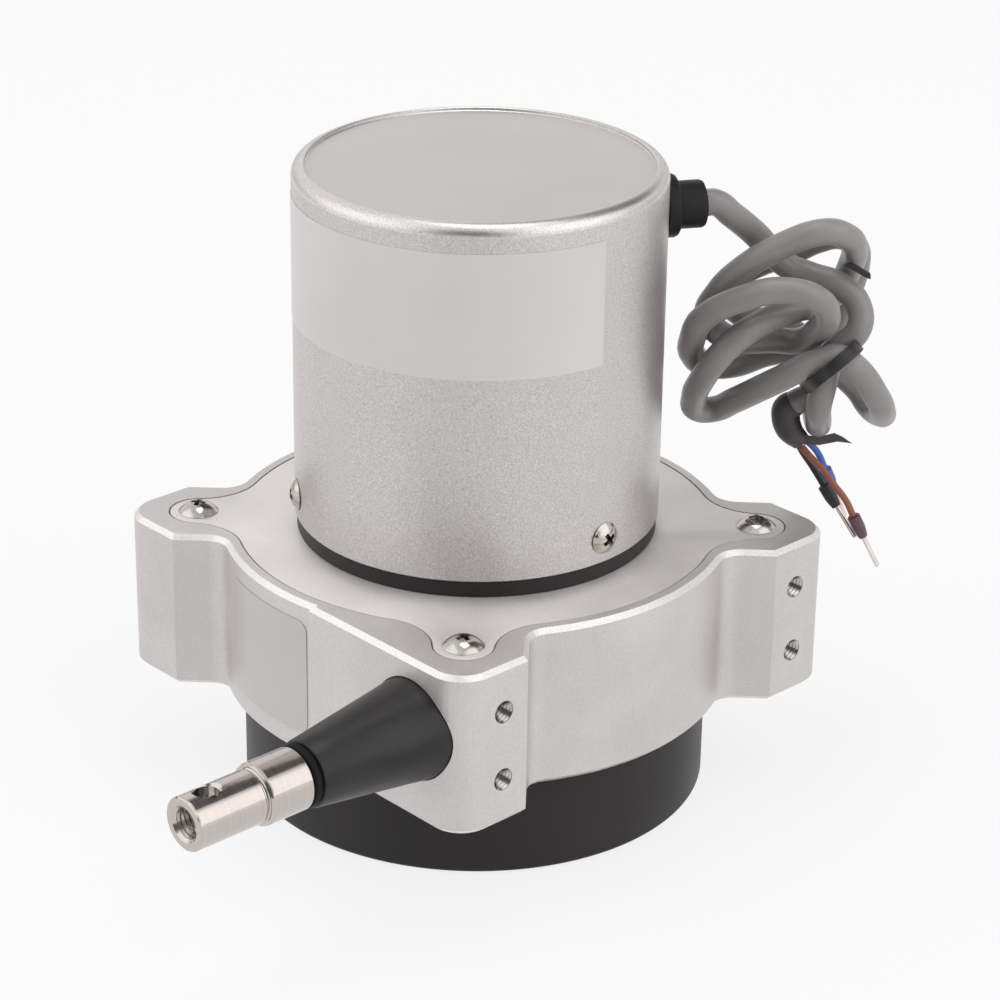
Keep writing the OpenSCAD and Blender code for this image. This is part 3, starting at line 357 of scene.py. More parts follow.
finishes = {
    "blasted": finish("blastedAluminium", (196, 192, 191), (220, 216, 215), 0.75,
        (0.42, 0.52), 60, 3800, 0.35, 0.03, specks=0.7),
    # painted light: the body's blasted finish made lighter for the upward-facing cover plate
    "lidBlasted": finish("blastedLidPaintedLight", (216, 212, 211), (237, 233, 232), 0.65,
        (0.44, 0.54), 60, 3800, 0.3, 0.03, specks=0.6),
    "chamfer": finish("cutChamfer", (214, 211, 208), (244, 242, 239), 0.55,
        (0.3, 0.42), 300, 3400, 0.4, 0.03, specks=0.9),
    "canBlasted": finish("blastedCan", (174, 170, 169), (224, 220, 219), 0.85,
        (0.34, 0.44), 50, 4200, 0.62, 0.035, specks=0.93),
    "canTop": finish("smoothDisc", (194, 191, 190), (202, 199, 198), 0.6,
        (0.42, 0.5), 40, 2600, 0.06, 0.02),
    # painted highlight: a lighter copy of the blasted can finish for the rim's upward faces
    "turnedRim": finish("blastedRimPaintedHighlight", (184, 180, 179), (236, 232, 231), 1.0,
        (0.3, 0.4), 60, 4200, 0.8, 0.035, specks=0.9),
    "blackRing": finish("blackRing", (26, 23, 24), (34, 31, 32), 0.0,
        (0.38, 0.5), 90, 2500, 0.12, 0.02, shine=0.35),
    "capPlastic": finish("capPlastic", (28, 24, 25), (36, 32, 33), 0.0,
        (0.42, 0.54), 40, 1800, 0.12, 0.03, shine=0.32),
    "conePlastic": finish("conePlastic", (17, 15, 16), (42, 39, 40), 0.0,
        (0.3, 0.46), 260, 2400, 0.06, 0.02, (1, 0.25, 1), shine=0.38),
    "bufferRubber": finish("bufferRubber", (18, 17, 18), (26, 24, 25), 0.0,
        (0.6, 0.75), 300, 3000, 0.2, 0.03, shine=0.2),
    "glandPlastic": finish("glandPlastic", (22, 20, 21), (32, 29, 30), 0.0,
        (0.42, 0.52), 120, 2200, 0.15, 0.03, shine=0.22),
    "nickel": finish("nickelPlate", (178, 171, 165), (206, 200, 194), 1.0,
        (0.1, 0.2), 400, 2200, 0.05, 0.01),
    "steel": finish("brightSteel", (180, 174, 168), (214, 208, 202), 1.0,
        (0.16, 0.28), 200, 2400, 0.08, 0.01),
    # steel thread colour, toned darker as painted shade for the inside of holes
    "threadSteel": finish("cutThreadWithPaintedShade", (150, 146, 143), (214, 209, 205), 1.0,
        (0.16, 0.28), 300, 2600, 0.1, 0.01),
    # painted shade: a dark metal for the insides of screw recesses and drilled holes
    "recess": finish("paintedShadeRecess", (74, 71, 69), (112, 108, 105), 0.9,
        (0.3, 0.45), 300, 2600, 0.1, 0.01),
    "bearing": finish("bearingSteel", (150, 147, 144), (186, 183, 180), 1.0,
        (0.16, 0.26), 200, 2400, 0.05, 0.01),
    "blackScrew": finish("blackenedScrew", (30, 30, 32), (52, 52, 55), 0.8,
        (0.3, 0.42), 200, 2600, 0.15, 0.02),
    "springSteel": finish("blueSpringSteel", (92, 98, 110), (140, 144, 150), 1.0,
        (0.22, 0.36), 90, 2000, 0.08, 0.01),
    "drumAluminium": finish("drumAluminium", (170, 168, 166), (200, 198, 196), 0.95,
        (0.26, 0.38), 80, 2400, 0.1, 0.02),
    "brass": finish("brass", (176, 142, 82), (214, 180, 112), 1.0,
        (0.2, 0.34), 150, 2400, 0.08, 0.01),
    "copper": finish("crimpCopper", (168, 108, 78), (206, 142, 108), 1.0,
        (0.24, 0.38), 200, 2400, 0.1, 0.01),
    "ceramic": finish("eyeletCeramic", (226, 220, 204), (242, 238, 226), 0.0,
        (0.16, 0.24), 120, 2000, 0.04, 0.01),
    "felt": finish("wiperFelt", (150, 132, 108), (196, 180, 156), 0.0,
        (0.85, 0.98), 900, 2600, 0.9, 0.2),
    "potBlue": finish("potentiometerShell", (28, 58, 122), (40, 76, 148), 0.0,
        (0.3, 0.44), 60, 2000, 0.1, 0.02),
    "boardGreen": finish("boardLacquer", (20, 78, 48), (30, 100, 62), 0.0,
        (0.24, 0.36), 140, 1600, 0.25, 0.03),
    "blockGreen": finish("terminalPlastic", (48, 128, 72), (62, 146, 88), 0.0,
        (0.4, 0.52), 100, 2200, 0.12, 0.02),
    "trimmerBlue": finish("trimmerPlastic", (34, 84, 160), (48, 102, 184), 0.0,
        (0.36, 0.48), 100, 2200, 0.12, 0.02),
    "chip": finish("chipBody", (26, 26, 28), (38, 38, 40), 0.0,
        (0.5, 0.62), 200, 2600, 0.3, 0.03),
    "capacitor": finish("capacitorSleeve", (26, 30, 44), (40, 46, 66), 0.0,
        (0.26, 0.38), 100, 2200, 0.08, 0.02),
    "jacket": finish("cableJacket", (132, 128, 128), (146, 142, 142), 0.0,
        (0.3, 0.4), 70, 1500, 0.12, 0.04),
    "tieBlack": finish("tieNylon", (24, 22, 23), (38, 36, 37), 0.0,
        (0.36, 0.5), 200, 2400, 0.15, 0.03),
    "sleeveBlack": finish("shrunkSleeve", (58, 55, 56), (78, 74, 75), 0.0,
        (0.42, 0.6), 240, 900, 0.5, 0.12),
    "brown": finish("brownLead", (142, 82, 64), (160, 98, 76), 0.0,
        (0.38, 0.5), 200, 2200, 0.15, 0.02),
    "blue": finish("blueLead", (64, 92, 182), (80, 112, 202), 0.0,
        (0.38, 0.5), 200, 2200, 0.15, 0.02),
    "black": finish("blackLead", (34, 33, 34), (48, 46, 47), 0.0,
        (0.38, 0.5), 200, 2200, 0.15, 0.02),
    "collar": finish("ferruleCollar", (92, 62, 70), (112, 78, 86), 0.0,
        (0.34, 0.46), 200, 2400, 0.1, 0.02),
    "tin": finish("ferruleTin", (206, 198, 190), (234, 228, 222), 1.0,
        (0.2, 0.32), 300, 2400, 0.1, 0.01),
    "canLabel": finish("canLabelFoil", (206, 202, 202), (216, 212, 212), 0.35,
        (0.34, 0.42), 30, 2600, 0.05, 0.01),
    "bodyLabel": finish("bodyLabelFoil", (190, 187, 186), (200, 197, 196), 0.35,
        (0.34, 0.42), 30, 2600, 0.05, 0.01),
    "wire": finish("measuringWire", (150, 147, 144), (206, 203, 200), 1.0,
        (0.22, 0.34), 1200, 4000, 0.5, 0.03, (1, 0.3, 1)),
}


# Turned steel: fine rings round the wire's axis
def turnedSteel():
    material, nodes, links, shader = newMaterial("turnedSteel")
    shader.inputs["Metallic"].default_value = 1.0
    rings = objectNoise(nodes, links, 9000, (0.004, 1, 0.004), 2.0)
    links.new(blended(nodes, links, rings, tone(190, 182, 177), tone(200, 192, 187), 0.3, 0.7),
              shader.inputs["Base Color"])
    links.new(spread(nodes, links, rings, 0.12, 0.2), shader.inputs["Roughness"])
    links.new(dented(nodes, links, rings, 0.07, 0.004), shader.inputs["Normal"])
    return material


finishes["turnedSteel"] = turnedSteel()
print("finishes made:", len(finishes))


# Cable: leaves the gland outwards, hangs and is gathered in loops under a tie
cable = {
    "exit": (18.9, 32.736, 100), "heading": 47, "diameter": 4.5, "length": 0.43,
    "route": [
        (0.05, 0, 0), (2, 0.5, 0), (5, 1.5, -2.5), (9, 4, -6.5), (15, 6, -13), (19, 5.5, -14.5),
        (24, 3, -15.5), (27, 1.5, -18.5), (27, 0, -22), (23, 0, -26.5), (21.5, -1, -32.5),
        (21, -0.5, -36), (21.5, 3, -40), (22, 8.5, -43), (22, 13.5, -43), (22, 16.5, -41),
        (23, 17.5, -37), (24, 17.5, -32), (27, 16.5, -21.5), (28, 16, -16.5), (27.5, 15.5, -13),
        (25, 15, -11), (21, 14.5, -11.5), (17, 14.5, -13.5), (8.5, 13.5, -17), (6, 13, -19),
        (6, 13, -22), (8, 13, -24.5), (12, 13, -26), (18.5, 13, -28.5), (23.5, 12, -33),
        (29, 12, -38), (31, 10.5, -40.5), (32.5, 6, -40), (32, 0.5, -37), (30.5, -3.5, -33),
        (26, -5.5, -26.5), (23.5, -5.5, -25), (20.5, -5.5, -25.5), (13.5, -2.5, -30.5),
        (7, 4, -37), (3.5, 7, -40), (1, 6, -39.5), (0, 2, -35.5), (1, -3, -30),
        (3, -5.5, -25.5), (6, -5.5, -22), (9.5, -4, -20), (17, 1.5, -19), (20, 5.5, -20),
        (23, 8.5, -19.5), (25, 9.5, -17), (26, 8, -13.5), (26, 4, -9), (24, 0, -5.5),
        (20.5, -2, -4), (13, -2.5, -6.5), (5.5, -2, -12), (3, -1, -15.5), (1.5, 1, -20),
        (3, 3, -23.5), (7, 4.5, -26), (13.5, 4.5, -26), (17, 3, -25.5), (20, -2, -21.5),
        (21, -6, -17.5), (19, -8.5, -13.5), (13, -8.5, -12), (8, -8.5, -13), (0.5, -6, -18),
        (-1, -2.5, -23), (-0.5, 2.5, -28), (2.5, 6.5, -31.5), (7, 8, -32), (13, 8.5, -30),
        (18, 7, -29), (21, 6, -31), (20.5, 5, -35.5), (17.5, 5.5, -38)],
    "sleeve": [(17.5, 5.5, -38), (16.3, 5.7, -39), (16.2, 6, -41), (17, 6.2, -43.3),
               (19, 6.5, -45.5)],
    "sleeveRadii": [2.3, 2.5, 2.5, 2.3, 1.7],
    "flapPlace": (18.8, 5.2, -44.6),
    "flap": [(0, -0.9), (3.4, -1.0), (6.6, -0.4), (9.2, -0.7), (7.4, 0.5), (6.0, 1.1), (3.2, 0.4),
             (0, 0.9)],
    "leads": {
        "brown": [(19.2, 5.6, -46.2), (20.7, 5, -47.8), (23, 4.5, -50), (25, 3.5, -52.5),
                  (27, 3, -55), (28.5, 3, -58)],
        "blue": [(19.9, 6.9, -45.6), (21, 8, -46.8), (22.5, 9, -49), (23.8, 9.5, -52)],
        "black": [(18.7, 7.2, -46.4), (19.6, 8, -48.2), (21.5, 8, -51), (23.5, 7, -54)]},
    "leadDiameter": 1.2, "collarRadius": 1.15, "collarLength": 4.4,
    "pinRadius": 0.42, "pinLength": 6.4,
}
cablePlace = shift(*cable["exit"]) @ turn(cable["heading"], "Z")


def onCable(p):
    return cablePlace @ point(p)


def strand(name, route, radius, rings=8, sizes=None):  # round curve, sizes change its radius
    data = bpy.data.curves.new(name, "CURVE")
    data.dimensions = "3D"
    data.bevel_depth = radius * mm
    data.bevel_resolution = rings
    data.resolution_u = 8
    data.use_fill_caps = True
    line = data.splines.new("BEZIER")
    line.bezier_points.add(len(route) - 1)
    for knot, p, size in zip(line.bezier_points, route, sizes or [1] * len(route)):
        knot.co = onCable(p)
        knot.radius = size
        knot.handle_left_type = knot.handle_right_type = "AUTO"
    obj = bpy.data.objects.new(name, data)
    bpy.context.collection.objects.link(obj)
    return obj


def layCable():
    cord = strand("gatheredCable", cable["route"], cable["diameter"] / 2)
    finishPiece(cord, housing, "jacket", replaces=("signal_cable",))
    parts = []
    for lead, route in cable["leads"].items():
        run = strand(lead + "Lead", route, cable["leadDiameter"] / 2, 5)
        finishPiece(run, housing, lead, replaces=(lead + "_lead",))
        parts.append(run)
    return cord, parts


cableCord, leadRuns = layCable()
print("cable and leads laid")


# Body: square block cut back to the drum's round wall between four ears
body = {
    "half": 43, "earHalf": 10.25, "cornerRadius": 6, "filletRadius": 4, "filletAlong": 44.79,
    "filletAcross": 14.25, "filletMeet": 17.65, "frontFlatFrom": 7, "low": 18, "high": 46, "chamfer": 0.8,
    "wallSteps": 30, "pocketFloor": 42, "pocketGap": 0.25, "cavityRadius": 37.03,
    "cavityFloor": 23.6, "mountSpan": 67, "mountHeights": (26, 38), "mountMouth": 1.92,
    "mountDepth": 7.5, "outlet": (31.83, -43, 34), "outletSeatRadius": 8.65, "outletSeat": 3,
    "wireWay": 3.45, "screwSpan": 67, "screwHole": 1.55, "screwHoleFrom": 37,
    "bearingHole": 7.52, "capScrewCircle": 33.75, "capScrewHole": 1.55,
}


def wallOutline():  # anticlockwise, in millimetres
    full, ear, corner = body["half"], body["earHalf"], body["cornerRadius"]
    along, across, meet = body["filletAlong"], body["filletAcross"], body["filletMeet"]
    around = []
    for axis in (45, 135, 225, 315):
        # the ear's own corner, cut by the square, seen along its diagonal
        centre = (full - corner) * math.sqrt(2)
        faceEnd = 2 * full / math.sqrt(2) - ear
        nose = [(faceEnd, -ear)] + arc(centre, 0, corner, -45, 45, 10) + [(faceEnd, ear)]
        lower = arc(along, -across, body["filletRadius"], 180 - meet, 90, 8)
        upper = arc(along, across, body["filletRadius"], -90, meet - 180, 8)
        if axis == 315:  # the front flat runs straight into this ear
            start = [(body["frontFlatFrom"], -full)]
            around += start + [spun(p, axis) for p in nose[1:] + upper]
        else:
            around += [spun(p, axis) for p in lower + nose + upper]
        wallStart = axis + meet
        wallEnd = axis + 90 - meet
        if axis == 225:
            wallEnd = 270 + math.degrees(math.asin(body["frontFlatFrom"] / full))
        around += arc(0, 0, full, wallStart, wallEnd, body["wallSteps"])[1:-1]
        if axis == 225:
            around.append(arc(0, 0, full, wallEnd, wallEnd, 1)[0])
    return around


# Cover plate: round, with a lobe reaching out to each screw
coverPlate = {
    "radius": 40.53, "lobeRadius": 4.8, "lobeReach": 47.376, "blendRadius": 10,
    "low": 42, "high": 46, "bossRadius": 10, "bossTop": 48, "screwHole": 1.7,
    "shaftHole": 6.7, "edge": 0.12,
}


def coverOutline(grow):
    plate = coverPlate["radius"] + coverPlate["blendRadius"]
    lobe = coverPlate["lobeRadius"] + coverPlate["blendRadius"]
    reach = coverPlate["lobeReach"]
    x = (plate ** 2 - lobe ** 2 + reach ** 2) / (2 * reach)
    y = math.sqrt(plate ** 2 - x ** 2)
    leave = math.degrees(math.atan2(y, x))
    meet = math.degrees(math.atan2(-y, reach - x))  # from the blend's centre to the lobe's
    blend = coverPlate["blendRadius"] - grow
    around = []
    for axis in (45, 135, 225, 315):
        ear = (arc(x, -y, blend, 180 - leave, -meet, 12)
               + arc(reach, 0, coverPlate["lobeRadius"] + grow, -180 - meet, 180 + meet, 24)[1:-1]
               + arc(x, y, blend, meet, leave - 180, 12))
        around += [spun(p, axis) for p in ear]
        around += arc(0, 0, coverPlate["radius"] + grow, axis + leave, axis + 90 - leave, 24)[1:-1]
    return around


def mountPlaces(x):  # the four mounting holes, +Z going in from the +X face
    return [shift(x, y, z) @ turn(-90, "Y") for y in (-body["mountSpan"] / 2, body["mountSpan"] / 2)
            for z in body["mountHeights"]]


def outletPlace(forward=0.0):  # +Z out of the front face along the wire
    x, y, z = body["outlet"]
    return shift(x, y - forward, z) @ turn(90, "X")


def makeBody():
    shell = slab("bodyCasting", wallOutline(), body["low"], body["high"])
    pickParts(shell, "EDGE", lambda a, b: abs(a.z - b.z) < 0.01)
    bpy.ops.mesh.bevel(offset=body["chamfer"] * mm, segments=1, affect="EDGES", clamp_overlap=False)
    setMode("OBJECT")
    for face in shell.data.polygons:
        if 0.5 < abs(face.normal.z) < 0.9:
            face.material_index = 1
    for look in ("blasted", "chamfer", "drumAluminium", "recess"):
        shell.data.materials.append(finishes[look])
    pocket = slab("pocketCutter", coverOutline(body["pocketGap"]), body["pocketFloor"], 60)
    cutAway(shell, pocket)
    drill(shell, body["cavityRadius"], 30, shift(0, 0, body["cavityFloor"]), 128)
    drill(shell, body["bearingHole"], 20, shift(0, 0, 10), 64)
    for place in corners(body["screwSpan"], body["screwHoleFrom"]):
        drill(shell, body["screwHole"], 20, place, 24)
    # the mounting holes' cut faces take slot 3, the dark recess finish: painted shade inside the holes
    for place in mountPlaces(body["half"] + 1):
        drill(shell, body["mountMouth"], body["mountDepth"] + 1, place, 40, 3)
    drill(shell, body["outletSeatRadius"], 20, outletPlace(-body["outletSeat"]), 72)
    drill(shell, body["wireWay"], 20, outletPlace(-10), 32)
    for place in diagonals(body["capScrewCircle"], 14):
        drill(shell, body["capScrewHole"], 8, place, 24)
    smooth(shell, 25)
    finishPiece(shell, housing, replaces=("main_body",))
    return shell


casting = makeBody()
print("body made", len(casting.data.polygons))


def makeCover():
    plate = slab("lidPlate", coverOutline(0), coverPlate["low"], coverPlate["high"])
    r, top = coverPlate["bossRadius"], coverPlate["bossTop"]
    boss = turned("lidBoss", [(2, 44), (r, 44), (r, top), (2, top)])
    rounded(plate, coverPlate["edge"], 60)
    drill(plate, r - 1, 10, shift(0, 0, 40), 64)
    plate = joined(plate, boss)
    drill(plate, coverPlate["shaftHole"], 20, shift(0, 0, 38), 64)
    for place in corners(body["screwSpan"], 38):
        drill(plate, coverPlate["screwHole"], 20, place, 24)
    smooth(plate, 30)
    # the plate takes the lighter blasted finish, painted light on its top
    finishPiece(plate, housing, "lidBlasted", replaces=("cover_plate",))


makeCover()
print("cover plate made")


# Domed screws with a tapered cross recess
screwFacts = {
    "cover": {"headRadius": 3.4, "headHeight": 1.7, "shank": 1.5, "length": 8, "recess": 1.95,
              "blade": 0.5, "deep": 1.3},
    "can": {"headRadius": 2.75, "headHeight": 1.25, "shank": 1.5, "length": 4.5, "recess": 1.95,
            "blade": 0.48, "deep": 1.15},
    "turns": (12, 40, 64, 25),  # how far each cover screw was turned in
}


def crossScrew(name, facts):
    r, h = facts["headRadius"], facts["headHeight"]
    dome = (r * r + h * h) / (2 * h)
    profile = [(0, -facts["length"]), (facts["shank"] * 0.8, -facts["length"]),
               (facts["shank"], 0.35 - facts["length"]), (facts["shank"], 0), (r - 0.08, 0), (r, 0.08)]
    steps = 14
    widest = math.asin(min(1, r / dome))
    for i in range(1, steps):
        a = widest * (1 - i / steps)
        profile.append((dome * math.sin(a), h - dome + dome * math.cos(a)))
    profile.append((0, h))
    screw = turned(name, profile, 64)
    screw.data.materials.append(finishes["nickel"])
    # the cut cross recess takes this dark finish, painted shade inside the recess
    screw.data.materials.append(finishes["recess"])
    for angle in (0, 90):
        clearPick()
        bpy.ops.mesh.primitive_cube_add(size=mm)
        blade = bpy.context.object
        blade.scale = (2 * facts["recess"], 2 * facts["blade"], 2 * facts["deep"])
        blade.location = (0, 0, h * mm)
        settle(blade)
        pickParts(blade, "VERT", lambda spot: spot.z < h)
        bpy.ops.transform.resize(value=(0.4, 0.7, 1))
        setMode("OBJECT")
        moved(blade, turn(angle + 20, "Z"))
        cutAway(screw, blade, 1)
    rounded(screw, 0.06, 35)
    smooth(screw, 32)
    return screw


def makeScrews():
    screws = spreadOut(crossScrew("coverScrew", screwFacts["cover"]), "coverScrewSet",
                       [place @ turn(a, "Z") for place, a in
                        zip(corners(body["screwSpan"], body["high"]), screwFacts["turns"])])
    finishPiece(screws, housing, "nickel", replaces=("cover_screws",))
    screws = spreadOut(crossScrew("canScrew", screwFacts["can"]), "canScrewSet",
                       [turn(a, "Z") @ shift(can["radius"], 0, can["low"] + can["screwHeight"])
                        @ turn(90, "Y") @ turn(i * 25 + 10, "Z")
                        for i, a in enumerate(can["screwAngles"])])
    finishPiece(screws, housing, "nickel", replaces=("can_screws",))


# Can: blasted wall, rounded rim with a painted highlight on its upward faces, and a smoother disc let into
# the top
can = {"radius": 30.75, "inner": 29.25, "low": 48.8, "height": 60.8, "edgeRadius": 2,
       "rim": 2.05, "recess": 0.6, "topThickness": 2.5, "screwHeight": 4.4,
       "screwAngles": (0, 120, 240), "screwHole": 1.7, "footEdge": 0.25,
       "glandAngle": 60, "glandHeight": 100, "glandHole": 3.5}


def makeCan():
    r, h, e = can["radius"], can["height"], can["edgeRadius"]
    inner, top = can["inner"], can["low"] + can["height"]
    low = can["low"]
    shelf = r - can["rim"]
    profile = [(inner, low), (r - can["footEdge"], low), (r, low + can["footEdge"])]
    profile += [(r, low + z) for z in (12, 24, 36, 48)]
    profile += [(r - e + x, top - e + z) for x, z in arc(0, 0, e, 0, 90, 8)]
    profile += [(shelf, top), (shelf - 0.15, top - 0.1), (shelf - 0.2, top - can["recess"] + 0.12),
                (shelf - 0.35, top - can["recess"]), (0, top - can["recess"]),
                (0, top - can["topThickness"]), (inner, top - can["topThickness"])]
    shell = turned("sensorCanShell", profile, 160)
    for mark in ("canBlasted", "turnedRim", "canTop"):
        shell.data.materials.append(finishes[mark])
    # the disc gets slot 2; the rim's upward faces get slot 1, the lighter finish that is a painted highlight
    for face in shell.data.polygons:
        spot = face.center / mm
        reach = math.hypot(spot.x, spot.y)
        if spot.z > top - can["recess"] - 0.05 and reach < shelf - 0.3:
            face.material_index = 2
        elif face.normal.z > 0.03 and spot.z > top - 3:
            face.material_index = 1
    for a in can["screwAngles"]:
        drill(shell, can["screwHole"], 6, turn(a, "Z") @ shift(inner - 2, 0, low + can["screwHeight"])
              @ turn(90, "Y"), 24)
    drill(shell, can["glandHole"], 8, turn(can["glandAngle"], "Z")
          @ shift(inner - 3, 0, can["glandHeight"]) @ turn(90, "Y"), 40)
    smooth(shell, 28)
    finishPiece(shell, housing, replaces=("sensor_can",))


makeCan()
makeScrews()
print("can and screws made")


# Black ring under the can
baseRing = {"radius": 30.4, "inner": 10.3, "low": 46, "high": 48.8, "spigot": 29.15, "spigotTop": 58,
            "spigotWall": 3.5}


def makeRing():
    low, high, r = baseRing["low"], baseRing["high"], baseRing["radius"]
    inner, spigot, top = baseRing["inner"], baseRing["spigot"], baseRing["spigotTop"]
    hollow = spigot - baseRing["spigotWall"]
    ring = turned("canSeatRing", [(inner, low), (r - 0.15, low), (r, low + 0.15), (r, high - 0.2),
                                  (r - 0.2, high), (spigot, high), (spigot, top), (hollow, top),
                                  (hollow, high), (inner, high)], 128)
    smooth(ring, 30)
    finishPiece(ring, housing, "blackRing", replaces=("sensor_base",))


makeRing()


# Threads left by a tap or an insert, as a zigzag sleeve
def threadSleeve(name, outer, inner, pitch, length, steps=40):
    count = int(length / pitch)
    tooth = []
    for i in range(count):
        tooth += [(outer, i * pitch), (inner, (i + 0.5) * pitch)]
    tooth.append((outer, count * pitch))
    return turned(name, [(outer + 0.3, 0)] + tooth + [(outer + 0.3, count * pitch)], steps)


mountThread = {"outer": 1.92, "inner": 1.64, "pitch": 0.7, "length": 7.3}


def makeMountThreads():
    first = threadSleeve("mountThread", mountThread["outer"], mountThread["inner"],
                         mountThread["pitch"], mountThread["length"])
    smooth(first, 20)
    sleeves = spreadOut(first, "mountThreads", mountPlaces(body["half"] - 0.1))
    # the thread sleeves take the darker thread finish, partly painted shade
    finishPiece(sleeves, housing, "threadSteel")


makeMountThreads()
print("ring and threads made")


# Cap below the body that holds the return spring
springCap = {"radius": 39.75, "high": 18, "floor": 2.5, "wall": 2.5, "edge": 0.8}


def makeCap():
    r, e = springCap["radius"], springCap["edge"]
    inner = r - springCap["wall"]
    cap = turned("springHousing", [(0, 0), (r - e, 0)] + [(r - e + x, e + z) for x, z in
                                                          arc(0, 0, e, -90, 0, 5)]
                 + [(r, 9), (r, springCap["high"] - 0.02), (inner, springCap["high"] - 0.02),
                    (inner, springCap["floor"]), (0, springCap["floor"])], 160)
    for place in diagonals(body["capScrewCircle"], -0.5):
        drill(cap, 3.1, 2, place, 32)
    smooth(cap, 30)
    finishPiece(cap, housing, "capPlastic", replaces=("spring_cap",))


makeCap()


# Outlet cone, buffer and wire head, along the wire
outlet = {"baseRadius": 8.5, "tipRadius": 5.5, "length": 22, "seat": 3, "edge": 0.4, "bore": 1.5,
          "guideRoom": 2.95, "guideLength": 4, "spigot": 3.4, "spigotLength": 4,
          "bufferRadius": 5.15, "bufferBore": 2.2, "bufferLength": 1.4}


def makeOutlet():
    seat, spigot, bore = outlet["seat"], outlet["spigot"], outlet["bore"]
    wide, tip, end, room = outlet["baseRadius"], outlet["tipRadius"], outlet["length"], outlet["guideRoom"]
    back, root, shelf = -seat - outlet["spigotLength"], wide - 0.06, end - outlet["guideLength"]
    profile = [(bore, back), (spigot, back), (spigot, -seat), (wide, -seat), (wide, 0), (root, 0.35)]
    profile += [(root + (tip - root) * i / 6, end * i / 6) for i in range(1, 6)]
    profile += [(tip + 0.06, end - 0.35), (tip - 0.06, end - 0.08), (tip - 0.25, end), (room, end),
                (room, shelf), (bore, shelf)]
    cone = turned("outletCone", profile, 96)
    moved(cone, outletPlace())
    smooth(cone, 30)
    finishPiece(cone, housing, "conePlastic", replaces=("wire_nozzle",))
    r, bore, thick = outlet["bufferRadius"], outlet["bufferBore"], outlet["bufferLength"]
    pad = turned("outletBuffer", [(bore, 0), (r - 0.3, 0), (r - 0.05, 0.2), (r, thick / 2),
                                  (r - 0.05, thick - 0.2), (r - 0.3, thick), (bore, thick)], 64)
    moved(pad, outletPlace(outlet["length"]))
    smooth(pad, 50)
    finishPiece(pad, housing, "bufferRubber", replaces=("nozzle_buffer",))


makeOutlet()

head = {"start": 23.4, "collarRadius": 5.1, "collarLength": 8.5, "tipRadius": 4.4, "tipLength": 13,
        "chamfer": 0.5, "groove": 0.35, "wireBore": 0.6, "backLength": 4.6, "crimpRoom": 2.0,
        "threadRadius": 2.5, "threadPitch": 0.8, "threadCut": 0.22, "threadDepth": 10, "crossRadius": 2.0,
        "crossInset": 4.4}


def makeHead():
    collar, tip, c = head["collarRadius"], head["tipRadius"], head["chamfer"]
    shoulder = head["collarLength"]
    whole = shoulder + head["tipLength"]
    bore, back, room = head["threadRadius"], head["backLength"], head["crimpRoom"]
    inside = [(bore + 0.5, whole), (bore, whole - 0.5)]
    count = int((head["threadDepth"] - 0.5) / head["threadPitch"])
    for i in range(count):
        z = whole - 0.6 - i * head["threadPitch"]
        inside += [(bore, z), (bore - head["threadCut"], z - head["threadPitch"] / 2)]
    deep = whole - head["threadDepth"]
    inside += [(bore, deep), (room, deep), (room, back), (head["wireBore"], back),
               (head["wireBore"], 0)]
    outside = [(collar - c, 0), (collar - 0.12, 0.35), (collar, 0.6), (collar, shoulder - 0.6),
               (collar - 0.12, shoulder - 0.3), (collar - 0.35, shoulder), (tip + 0.1, shoulder),
               (tip - 0.15, shoulder + 0.15), (tip - 0.15, shoulder + 0.5), (tip, shoulder + 0.7),
               (tip, whole - 7.6), (tip, whole - 1.2), (tip, whole - 0.35),
               (tip - 0.08, whole - 0.14), (tip - 0.3, whole)]
    piece = turned("wireHeadTurning", outside + inside, 96)
    piece.data.materials.append(finishes["turnedSteel"])
    piece.data.materials.append(finishes["threadSteel"])
    drill(piece, head["crossRadius"], 2 * tip + 4,
          shift(0, 0, whole - head["crossInset"]) @ shift(0, -tip - 2, 0) @ turn(-90, "X"), 48, 1)
    for way in (-90, 90):  # both mouths of the cross hole are eased
        sink = turned("crossHoleSink", [(0, -0.5), (2.9, -0.5), (1.9, 0.75), (0, 0.75)], 48)
        moved(sink, shift(0, 0, whole - head["crossInset"]) @ turn(way, "X") @ shift(0, 0, -tip))
        cutAway(piece, sink)
    for face in piece.data.polygons:  # painted shade: a darker thread finish down the threaded hole
        spot = face.center / mm
        if math.hypot(spot.x, spot.y) < bore + 0.02 and 0.5 < spot.z < whole - 0.5:
            face.material_index = 1
    rounded(piece, 0.1, 62)
    moved(piece, outletPlace(head["start"]))
    smooth(piece, 18)
    finishPiece(piece, wireHead, "turnedSteel", replaces=("wire_head",))


makeHead()
print("outlet and wire head made")


# Gland where the cable leaves the can
gland = {"flangeRadius": 5.3, "flange": 2.35, "barrelRadius": 4.0, "barrel": 4.7, "bore": 2.3,
         "thread": 3.4, "threadLength": 5.5}


def glandPlace():
    return turn(can["glandAngle"], "Z") @ shift(can["radius"], 0, can["glandHeight"]) @ turn(90, "Y")


def makeGland():
    f, flange, b = gland["flangeRadius"], gland["flange"], gland["barrelRadius"]
    bore, thread, back = gland["bore"], gland["thread"], -gland["threadLength"]
    end = flange + gland["barrel"]
    piece = turned("cableGlandBody", [
        (bore, back), (thread, back), (thread, 0), (f, 0), (f, flange - 0.7),
        (f - 0.2, flange - 0.25), (f - 0.6, flange), (b + 0.25, flange + 0.02),
        (b + 0.02, flange + 0.2), (b, flange + 0.5), (b, end - 0.6), (b - 0.18, end - 0.18),
        (b - 0.6, end), (bore + 0.2, end), (bore, end - 0.2)], 72)
    moved(piece, glandPlace())
    smooth(piece, 35)
    finishPiece(piece, housing, "glandPlastic", replaces=("cable_gland",))


makeGland()


